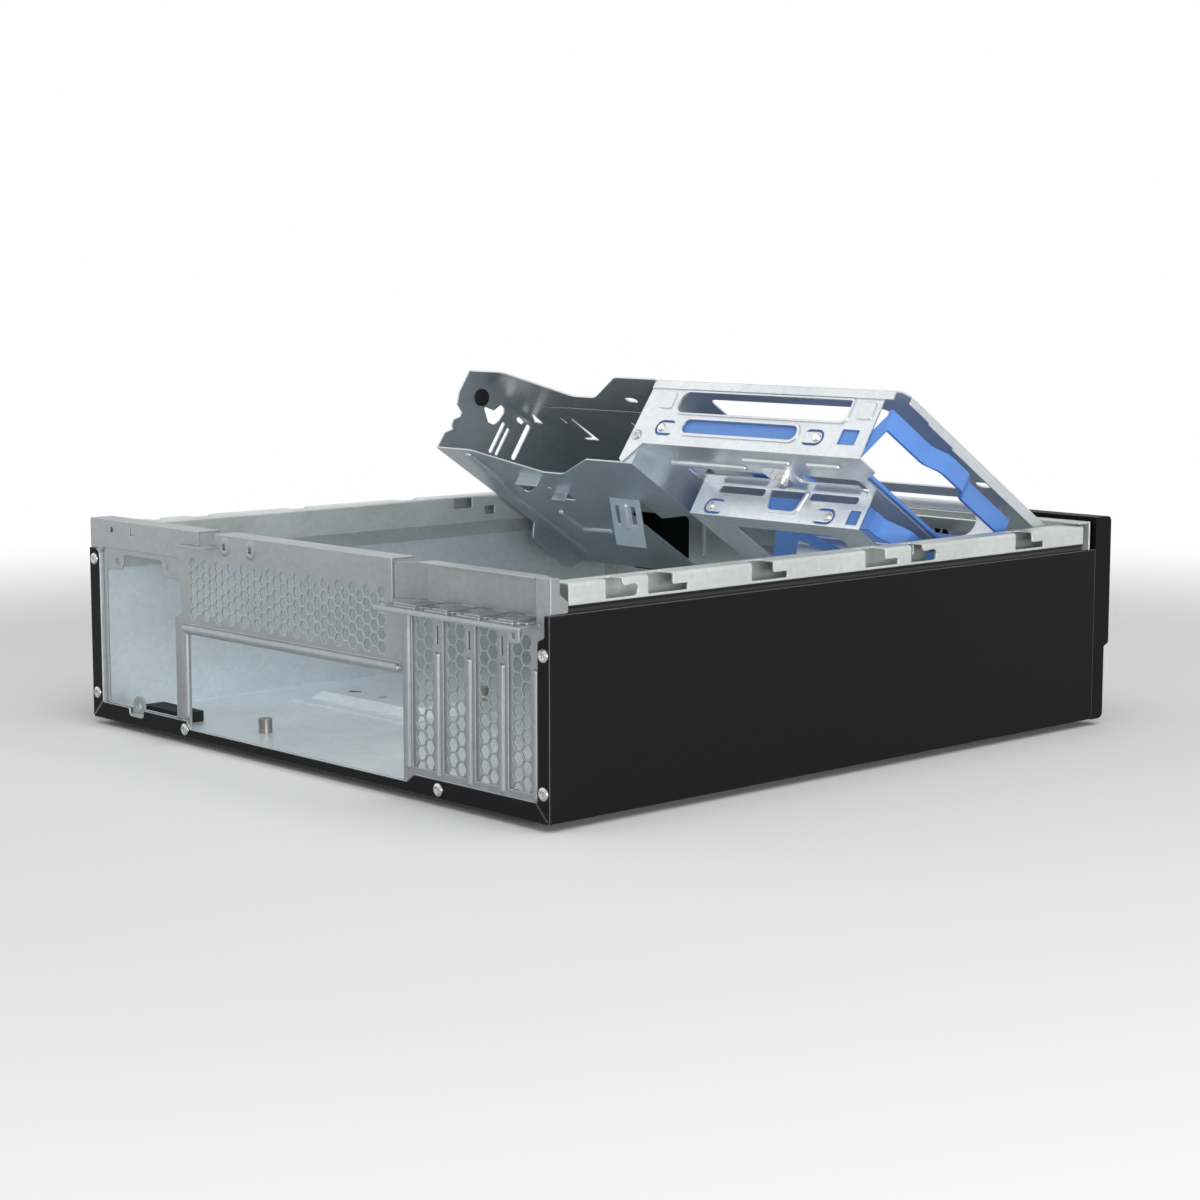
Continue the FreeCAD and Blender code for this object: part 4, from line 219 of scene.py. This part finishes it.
def put(tree, kind, inputs=None, **settings):
    """Add a node with its settings, then feed its inputs."""
    row, column = divmod(len(tree.nodes), NODE_COLUMNS)
    node = tree.nodes.new(kind)
    node.location = (column * NODE_WIDTH, -row * NODE_HEIGHT)
    for name, value in settings.items():
        setattr(node, name, value)
    feed(tree, node, inputs or {})
    return node


def calculate(tree, operation, *values):
    """The result of a Math node on values or sockets."""
    return put(tree, "ShaderNodeMath", dict(enumerate(values)), operation=operation).outputs["Value"]


def spread(tree, factor, low, high, start=0.0, end=1.0):
    """A value that runs from low to high while a factor runs from start to end."""
    limits = {"From Min": start, "From Max": end, "To Min": low, "To Max": high}
    return put(tree, "ShaderNodeMapRange", {"Value": factor, **limits}).outputs["Result"]


def between(tree, factor, low, high, kind="RGBA"):
    """A colour, or a value of another kind, that runs from low to high with a factor."""
    return put(tree, "ShaderNodeMix", {"Factor": factor, "A": low, "B": high}, data_type=kind).outputs["Result"]


def scaled(tone, factor):
    """A tone made lighter or darker, as an opaque colour."""
    return (tone[0] * factor, tone[1] * factor, tone[2] * factor, 1.0)


def shaded(tree, factor, tone, shades):
    """A tone that runs from its darkest to its lightest shade with a factor."""
    dark, light = shades
    return between(tree, factor, scaled(tone, dark), scaled(tone, light))


def roughened(tree, factor, roughness, departures):
    """A roughness that departs from its middle with a factor."""
    less, more = departures
    return spread(tree, factor, roughness + less, roughness + more)


def raise_bump(tree, height, strength, distance, base=None):
    """Fine relief of a surface, over a base normal where one is given."""
    inputs = {"Height": height, "Strength": strength, "Distance": distance}
    if base:
        inputs["Normal"] = base
    return put(tree, "ShaderNodeBump", inputs).outputs["Normal"]


def new_group(name, inputs, outputs):
    """A new shader node group and the sockets it is given; Vector and Normal hold vectors, all others values."""
    group = bpy.data.node_groups.new(name, "ShaderNodeTree")
    for label, default in inputs.items():
        kind = "NodeSocketVector" if label == "Vector" else "NodeSocketFloat"
        socket = group.interface.new_socket(label, in_out="INPUT", socket_type=kind)
        socket.default_value = default
    for label in outputs:
        kind = "NodeSocketVector" if label == "Normal" else "NodeSocketFloat"
        group.interface.new_socket(label, in_out="OUTPUT", socket_type=kind)
    return group, put(group, "NodeGroupInput").outputs


def rolled_sheet_group():
    """Cloudy zinc crystals and faint rolling lines of galvanised sheet."""
    crystal_share = 0.3
    rolling_share = 0.3
    darkest, lightest = 0.45, 1.15
    along_the_roll = (1.0, 0.02, 1.0)
    defaults = {"Vector": ORIGIN, "Crystal": 420.0, "Cloud": 28.0, "Lines": 900.0}
    group, given = new_group("Rolled Sheet", defaults, ["Tone", "Gloss", "Height"])
    crystal = put(group, "ShaderNodeTexVoronoi", {"Vector": given["Vector"], "Scale": given["Crystal"]})
    grey = put(group, "ShaderNodeSeparateColor", {"Color": crystal.outputs["Color"]}).outputs["Red"]
    cloud = put(group, "ShaderNodeTexNoise", {"Vector": given["Vector"], "Scale": given["Cloud"], "Detail": 3.0})
    cloud = cloud.outputs["Fac"]
    stretch = put(group, "ShaderNodeMapping", {"Vector": given["Vector"], "Scale": along_the_roll})
    rolling = put(group, "ShaderNodeTexNoise",
                  {"Vector": stretch.outputs["Vector"], "Scale": given["Lines"], "Detail": 2.0}).outputs["Fac"]
    mixed = calculate(group, "MULTIPLY_ADD", grey, crystal_share, cloud)
    mixed = calculate(group, "MULTIPLY_ADD", rolling, rolling_share, mixed)
    tone = spread(group, mixed, 0.0, 1.0, darkest, lightest)
    put(group, "NodeGroupOutput", {"Tone": tone, "Gloss": cloud, "Height": rolling})
    return group


def moulded_grain_group():
    """Fine pebble of painted or moulded surfaces, with broad worn patches."""
    unworn, worn = 0.35, 0.7
    defaults = {"Vector": ORIGIN, "Pebble": 2600.0, "Patch": 14.0}
    group, given = new_group("Moulded Grain", defaults, ["Tone", "Wear And Edge Highlight", "Height"])
    pebble = put(group, "ShaderNodeTexNoise", {"Vector": given["Vector"], "Scale": given["Pebble"], "Detail": 2.0})
    patch = put(group, "ShaderNodeTexNoise", {"Vector": given["Vector"], "Scale": given["Patch"], "Detail": 4.0})
    wear_and_edge_highlight = spread(group, patch.outputs["Fac"], 0.0, 1.0, unworn, worn)
    put(group, "NodeGroupOutput", {"Tone": pebble.outputs["Fac"], "Wear And Edge Highlight": wear_and_edge_highlight, "Height": pebble.outputs["Fac"]})
    return group


def rounded_edge_group():
    """Edges softened by a small radius, and a mask of the edges where a highlight is painted."""
    flat, sharp = 0.96, 0.75
    group, given = new_group("Rounded Edge", {"Radius": SHEET_EDGE}, ["Wear And Edge Highlight", "Normal"])
    rounded = put(group, "ShaderNodeBevel", {"Radius": given["Radius"]}, samples=EDGE_SAMPLES).outputs["Normal"]
    plain = put(group, "ShaderNodeNewGeometry").outputs["Normal"]
    likeness = put(group, "ShaderNodeVectorMath", {0: rounded, 1: plain}, operation="DOT_PRODUCT")
    wear_and_edge_highlight = spread(group, likeness.outputs["Value"], 0.0, 1.0, flat, sharp)
    put(group, "NodeGroupOutput", {"Wear And Edge Highlight": wear_and_edge_highlight, "Normal": rounded})
    return group


def place_group(tree, name, inputs):
    """Outputs of a shared effect, which is built the first time that a material asks for it."""
    makers = {"Rolled Sheet": rolled_sheet_group, "Moulded Grain": moulded_grain_group,
              "Rounded Edge": rounded_edge_group}
    group = bpy.data.node_groups.get(name) or makers[name]()
    return put(tree, "ShaderNodeGroup", inputs, node_tree=group).outputs


def new_material(name):
    """A material with its node tree, its shader and its object coordinates."""
    material = bpy.data.materials.new(name)
    material.use_nodes = True
    tree = material.node_tree
    tree.nodes.clear()
    coords = put(tree, "ShaderNodeTexCoord").outputs["Object"]
    shader = put(tree, "ShaderNodeBsdfPrincipled")
    put(tree, "ShaderNodeOutputMaterial", {"Surface": shader.outputs["BSDF"]})
    return material, tree, shader, coords


def zinc_surface(tree, coords, tone, roughness):
    """Galvanised sheet: cloudy metal with faint rolling lines and a painted highlight along its edges."""
    sheet = place_group(tree, "Rolled Sheet", {"Vector": coords})
    edge = place_group(tree, "Rounded Edge", {"Radius": SHEET_EDGE})
    cloudy = shaded(tree, sheet["Tone"], tone, SHEET_SHADES)
    # Painted highlight: the sheet's edges are mixed towards a pale tone.
    painted_edge_highlight = spread(tree, edge["Wear And Edge Highlight"], 0.0, EDGE_HIGHLIGHT_SHARE)
    return {
        "Base Color": between(tree, painted_edge_highlight, cloudy, EDGE_HIGHLIGHT_TONE),
        "Roughness": roughened(tree, sheet["Gloss"], roughness, SHEET_ROUGH),
        "Normal": raise_bump(tree, sheet["Height"], SHEET_BUMP, SHEET_RELIEF, edge["Normal"]),
    }


def zinc_material(name, tone, roughness, metal):
    """Galvanised or plated metal of one tone."""
    material, tree, shader, coords = new_material(name)
    feed(tree, shader, zinc_surface(tree, coords, tone, roughness))
    feed(tree, shader, {"Metallic": metal})
    return material


def looks_outward(tree, coords):
    """1 on faces that look away from the middle of the shell, 0 on the others."""
    lo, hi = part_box("outer_shell")
    away = put(tree, "ShaderNodeVectorMath", {0: coords, 1: (lo + hi) / 2}, operation="SUBTRACT").outputs["Vector"]
    normal = put(tree, "ShaderNodeNewGeometry").outputs["True Normal"]
    facing = put(tree, "ShaderNodeVectorMath", {0: away, 1: normal}, operation="DOT_PRODUCT").outputs["Value"]
    return calculate(tree, "GREATER_THAN", facing, 0.0)


def rail_foot(tree, coords):
    """1 on the outer faces of a rail's lapped foot, which shows above the shell's top edge, 0 elsewhere."""
    lo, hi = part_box("outer_shell")
    axes = put(tree, "ShaderNodeSeparateXYZ", {"Vector": coords}).outputs
    low = calculate(tree, "LESS_THAN", axes["Z"], hi.z + RAIL_SHADE_BAND)
    inner = calculate(tree, "COMPARE", axes["X"], (lo.x + hi.x) / 2, (hi.x - lo.x) / 2 - RAIL_SHADE_BAND)
    foot = calculate(tree, "GREATER_THAN", low, inner)
    return calculate(tree, "MULTIPLY", foot, looks_outward(tree, coords))


def rail_material(name, finish):
    """Galvanised rail whose lapped foot is given the shell's black paint as painted shade."""
    material, tree, shader, coords = new_material(name)
    surface = zinc_surface(tree, coords, finish.rail_tone, finish.zinc_roughness)
    # Painted shade: the foot takes the black paint's tone and no metal, for the shade in the groove between rail
    # and shell.
    painted_shade_foot = rail_foot(tree, coords)
    surface["Base Color"] = between(tree, painted_shade_foot, surface["Base Color"], scaled(finish.paint_tone, 1.0))
    surface["Metallic"] = spread(tree, painted_shade_foot, finish.zinc_metal, 0.0)
    feed(tree, shader, surface)
    return material


def shell_material(name, finish):
    """Coated outside and bare zinc inside of the folded shell, told apart by the way a face looks."""
    material, tree, shader, coords = new_material(name)
    grain = place_group(tree, "Moulded Grain", {"Vector": coords, "Pebble": 1900.0, "Patch": 9.0})
    sheet = place_group(tree, "Rolled Sheet", {"Vector": coords})
    edge = place_group(tree, "Rounded Edge", {"Radius": SHELL_EDGE})
    outside = looks_outward(tree, coords)
    # The bare inside: zinc lightened with painted light and tinted with a bluish painted reflection.
    zinc = shaded(tree, sheet["Tone"], finish.inside_zinc_and_painted_light_tone, INSIDE_SHADES)
    paint = shaded(tree, grain["Tone"], finish.paint_tone, PAINT_SHADES)
    # Painted highlight: the paint's edges are mixed towards a grey tone.
    paint_edge_highlight = spread(tree, edge["Wear And Edge Highlight"], 0.0, PAINT_EDGE_HIGHLIGHT_SHARE)
    paint_with_edge_highlight = between(tree, paint_edge_highlight, paint, PAINT_EDGE_HIGHLIGHT_TONE)
    rough_zinc = roughened(tree, sheet["Gloss"], finish.zinc_roughness, INSIDE_ROUGH)
    rough_paint = spread(tree, grain["Wear And Edge Highlight"], *PAINT_ROUGH)
    pebble = calculate(tree, "MULTIPLY", grain["Height"], outside)
    feed(tree, shader, {
        "Base Color": between(tree, outside, zinc, paint_with_edge_highlight),
        "Metallic": spread(tree, outside, finish.zinc_metal, 0.0),
        "Roughness": between(tree, outside, rough_zinc, rough_paint, "FLOAT"),
        "Normal": raise_bump(tree, pebble, PAINT_BUMP, PAINT_RELIEF, edge["Normal"]),
        "Specular IOR Level": 0.1,
    })
    return material


def plastic_material(name, tone, roughness, pebble, bump, specular=0.4):
    """Moulded plastic or rubber with a fine grain and softly worn patches."""
    material, tree, shader, coords = new_material(name)
    grain = place_group(tree, "Moulded Grain", {"Vector": coords, "Pebble": pebble})
    feed(tree, shader, {
        "Base Color": shaded(tree, grain["Wear And Edge Highlight"], tone, PLASTIC_SHADES),
        "Roughness": roughened(tree, grain["Wear And Edge Highlight"], roughness, PLASTIC_ROUGH),
        "Normal": raise_bump(tree, grain["Height"], bump, PLASTIC_RELIEF),
        "Specular IOR Level": specular,
    })
    return material


def dress(names, material):
    """Give CAD pieces one finish."""
    for name in names:
        mesh = NODES[name].data
        mesh.materials.clear()
        mesh.materials.append(material)


class CASE_OT_shell(bpy.types.Operator):
    """Coat the outside of the folded shell and leave its inside bare"""

    bl_idname = "case.shell"
    bl_label = "Finish Shell"

    def execute(self, context):
        dress(["outer_shell"], shell_material("Black Coating", context.scene.case_finish))
        return {"FINISHED"}


class CASE_OT_walls(bpy.types.Operator):
    """Finish the fixed galvanised sheets"""

    bl_idname = "case.walls"
    bl_label = "Finish Walls"

    def execute(self, context):
        finish = context.scene.case_finish
        roughness = finish.zinc_roughness
        metal = finish.zinc_metal
        # The rear sheets take the zinc darkened with painted shade.
        dress(REAR_SHEETS, zinc_material("Galvanised Rear Painted Shade", finish.rear_painted_shade_tone, roughness, metal))
        dress(RAILS, rail_material("Galvanised Rail", finish))
        dress(["front_panel"], zinc_material("Galvanised Front", finish.rail_tone, roughness, metal))
        # The floor plate takes the inside zinc, lightened with painted light and tinted with a bluish painted
        # reflection.
        dress(["floor_plate"], zinc_material("Galvanised Floor With Painted Light", finish.inside_zinc_and_painted_light_tone, roughness, metal))
        return {"FINISHED"}


class CASE_OT_cage(bpy.types.Operator):
    """Finish the sheets of the drive cage"""

    bl_idname = "case.cage"
    bl_label = "Finish Cage"

    def execute(self, context):
        finish = context.scene.case_finish
        roughness = finish.zinc_roughness - CAGE_POLISH
        metal = finish.cage_metal
        # Lit and shaded copies of one zinc: painted light on the cage's top, its upper bay and its lower bay,
        # painted shade on the optical tray.
        dress(CAGE_SHEETS, zinc_material("Galvanised Cage Painted Light", finish.cage_painted_light_tone, roughness, metal))
        dress(["small_bay"], zinc_material("Galvanised Lower Bay Painted Light", finish.lower_bay_painted_light_tone, roughness, metal))
        dress(["optical_tray"], zinc_material("Galvanised Tray Painted Shade", finish.tray_painted_shade_tone, roughness, metal))
        return {"FINISHED"}


class CASE_OT_carriers(bpy.types.Operator):
    """Finish the drive carriers"""

    bl_idname = "case.carriers"
    bl_label = "Finish Carriers"

    def execute(self, context):
        finish = context.scene.case_finish
        dress(CARRIERS, plastic_material("Blue Carrier", finish.carrier_tone, roughness=0.36, pebble=1400.0,
                                         bump=0.08, specular=0.5))
        return {"FINISHED"}


class CASE_OT_front(bpy.types.Operator):
    """Finish the moulded front, its blank, its button and the port board"""

    bl_idname = "case.front"
    bl_label = "Finish Front"

    def execute(self, context):
        finish = context.scene.case_finish
        dress(FRONT_PLASTICS, plastic_material("Black Front", finish.plastic_tone, roughness=0.5, pebble=1800.0,
                                               bump=0.25, specular=0.08))
        dress(["port_board"], plastic_material("Port Board", finish.board_tone, roughness=0.4, pebble=900.0,
                                               bump=0.1))
        return {"FINISHED"}


class CASE_OT_fasteners(bpy.types.Operator):
    """Finish rivets, studs, screws, standoffs, pins and port shells"""

    bl_idname = "case.fasteners"
    bl_label = "Finish Fasteners"

    def execute(self, context):
        finish = context.scene.case_finish
        dress(FASTENERS, zinc_material("Bright Fastener", finish.bright_tone, roughness=0.26, metal=0.9))
        dress(RIVETS, zinc_material("Rivet", finish.rivet_tone, roughness=0.24, metal=0.9))
        dress(["board_standoffs"], zinc_material("Standoff", finish.standoff_tone, roughness=0.3, metal=0.8))
        return {"FINISHED"}


class CASE_OT_rubber(bpy.types.Operator):
    """Finish feet, pad and bumper"""

    bl_idname = "case.rubber"
    bl_label = "Finish Rubber"

    def execute(self, context):
        finish = context.scene.case_finish
        dress(RUBBERS, plastic_material("Black Rubber", finish.rubber_tone, roughness=0.72, pebble=1200.0,
                                        bump=0.3, specular=0.25))
        return {"FINISHED"}


def add_floor(look, level):
    """A pale round floor that fades into the background towards its rim."""
    bpy.ops.mesh.primitive_circle_add(vertices=FLOOR_SIDES, radius=look.floor_radius, fill_type="NGON",
                                      location=(0.0, 0.0, level))
    floor = bpy.context.object
    floor.name = "floor"
    material, tree, shader, coords = new_material("Pale Floor")
    cloud = put(tree, "ShaderNodeTexNoise", {"Vector": coords, "Scale": 3.0}).outputs["Fac"]
    shades = (look.floor_tone - FLOOR_MOTTLE, look.floor_tone + FLOOR_MOTTLE)
    reach = put(tree, "ShaderNodeVectorMath", {0: coords}, operation="LENGTH").outputs["Value"]
    start, end = FLOOR_FADE
    limits = {"From Min": start * look.floor_radius, "From Max": end * look.floor_radius,
              "To Min": 1.0, "To Max": 0.0}
    fade = put(tree, "ShaderNodeMapRange", {"Value": reach, **limits}, interpolation_type="SMOOTHSTEP")
    feed(tree, shader, {
        "Base Color": shaded(tree, cloud, WHITE, shades),
        "Roughness": 0.9,
        "Specular IOR Level": 0.1,
        "Alpha": fade.outputs["Result"],
    })
    floor.data.materials.append(material)
    floor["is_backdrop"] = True


def add_world(look):
    """A background that is white to the camera and in reflections, and lights the case more weakly."""
    world = bpy.data.worlds.new("Studio")
    world.use_nodes = True
    tree = world.node_tree
    tree.nodes.clear()
    ray = put(tree, "ShaderNodeLightPath").outputs
    seen = calculate(tree, "MAXIMUM", ray["Is Camera Ray"], ray["Is Glossy Ray"])
    seen = calculate(tree, "MAXIMUM", seen, ray["Is Transmission Ray"])
    strength = spread(tree, seen, look.ambient, 1.0)
    background = put(tree, "ShaderNodeBackground", {"Color": WHITE, "Strength": strength})
    put(tree, "ShaderNodeOutputWorld", {"Surface": background.outputs["Background"]})
    bpy.context.scene.world = world


def add_light(name, power, aim, offset, size, mirrored=True):
    """Add a soft rectangular light; one that isn't mirrored shows no image of itself in the metal."""
    lamp = bpy.data.lights.new(name, "AREA")
    lamp.shape = "RECTANGLE"
    lamp.size, lamp.size_y = size
    lamp.energy = power
    light = bpy.data.objects.new(name, lamp)
    light.location = aim + Vector(offset)
    light.visible_glossy = mirrored
    light.rotation_euler = (aim - light.location).to_track_quat("-Z", "Y").to_euler()
    bpy.context.scene.collection.objects.link(light)


def add_camera(look):
    """The camera at the photograph's viewing angle."""
    scene = bpy.context.scene
    camera_data = bpy.data.cameras.new("photo_camera")
    camera_data.sensor_width = SENSOR_WIDTH
    camera_data.lens = look.lens
    camera = bpy.data.objects.new("photo_camera", camera_data)
    camera.location = look.camera_place
    camera.rotation_euler = (math.pi / 2 - look.camera_pitch, 0.0, look.camera_yaw)
    scene.collection.objects.link(camera)
    scene.camera = camera


class CASE_OT_stage(bpy.types.Operator):
    """Set up the floor, the light and the camera"""

    bl_idname = "case.stage"
    bl_label = "Set Stage"

    def execute(self, context):
        scene = context.scene
        look = scene.case_view
        scene.view_settings.view_transform = "Standard"
        lo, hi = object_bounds()
        centre = (lo + hi) / 2
        add_floor(look, lo.z - FLOOR_GAP)
        add_world(look)
        add_light("left_rear", look.key, centre, offset=(-1.25, -0.90, 0.62), size=(3.0, 1.8))
        add_light("overhead", look.overhead, centre, offset=(0.60, -0.10, 1.40), size=(2.2, 2.2), mirrored=False)
        add_light("right_side", look.side, centre, offset=(1.45, -0.60, 0.12), size=(0.9, 0.3))
        add_camera(look)
        return {"FINISHED"}


PIECE_OPERATORS = (CASE_OT_shell, CASE_OT_walls, CASE_OT_cage, CASE_OT_carriers, CASE_OT_front, CASE_OT_fasteners,
                   CASE_OT_rubber, CASE_OT_stage)


class CASE_PT_panel(bpy.types.Panel):
    """Finishes and stage of the case"""

    bl_idname = "CASE_PT_panel"
    bl_label = "Slim Case"
    bl_space_type = "VIEW_3D"
    bl_region_type = "UI"
    bl_category = "Case"

    def draw(self, context):
        layout = self.layout
        for group in (context.scene.case_finish, context.scene.case_view):
            box = layout.box()
            for name in group.__annotations__:
                box.prop(group, name)
        for operator in PIECE_OPERATORS:
            layout.operator(operator.bl_idname)


CLASSES = (CaseFinish, CaseView) + PIECE_OPERATORS + (CASE_PT_panel,)


def register():
    """Register the classes and hang the case's values on the scene."""
    for cls in CLASSES:
        bpy.utils.register_class(cls)
    bpy.types.Scene.case_finish = bpy.props.PointerProperty(type=CaseFinish)
    bpy.types.Scene.case_view = bpy.props.PointerProperty(type=CaseView)


def unregister():
    """Take the values and the classes away again."""
    del bpy.types.Scene.case_view
    del bpy.types.Scene.case_finish
    for cls in reversed(CLASSES):
        bpy.utils.unregister_class(cls)


def main():
    """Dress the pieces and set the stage."""
    register()
    bpy.ops.case.shell()
    bpy.ops.case.walls()
    bpy.ops.case.cage()
    bpy.ops.case.carriers()
    bpy.ops.case.front()
    bpy.ops.case.fasteners()
    bpy.ops.case.rubber()
    bpy.ops.case.stage()


if __name__ == "__main__":
    main()
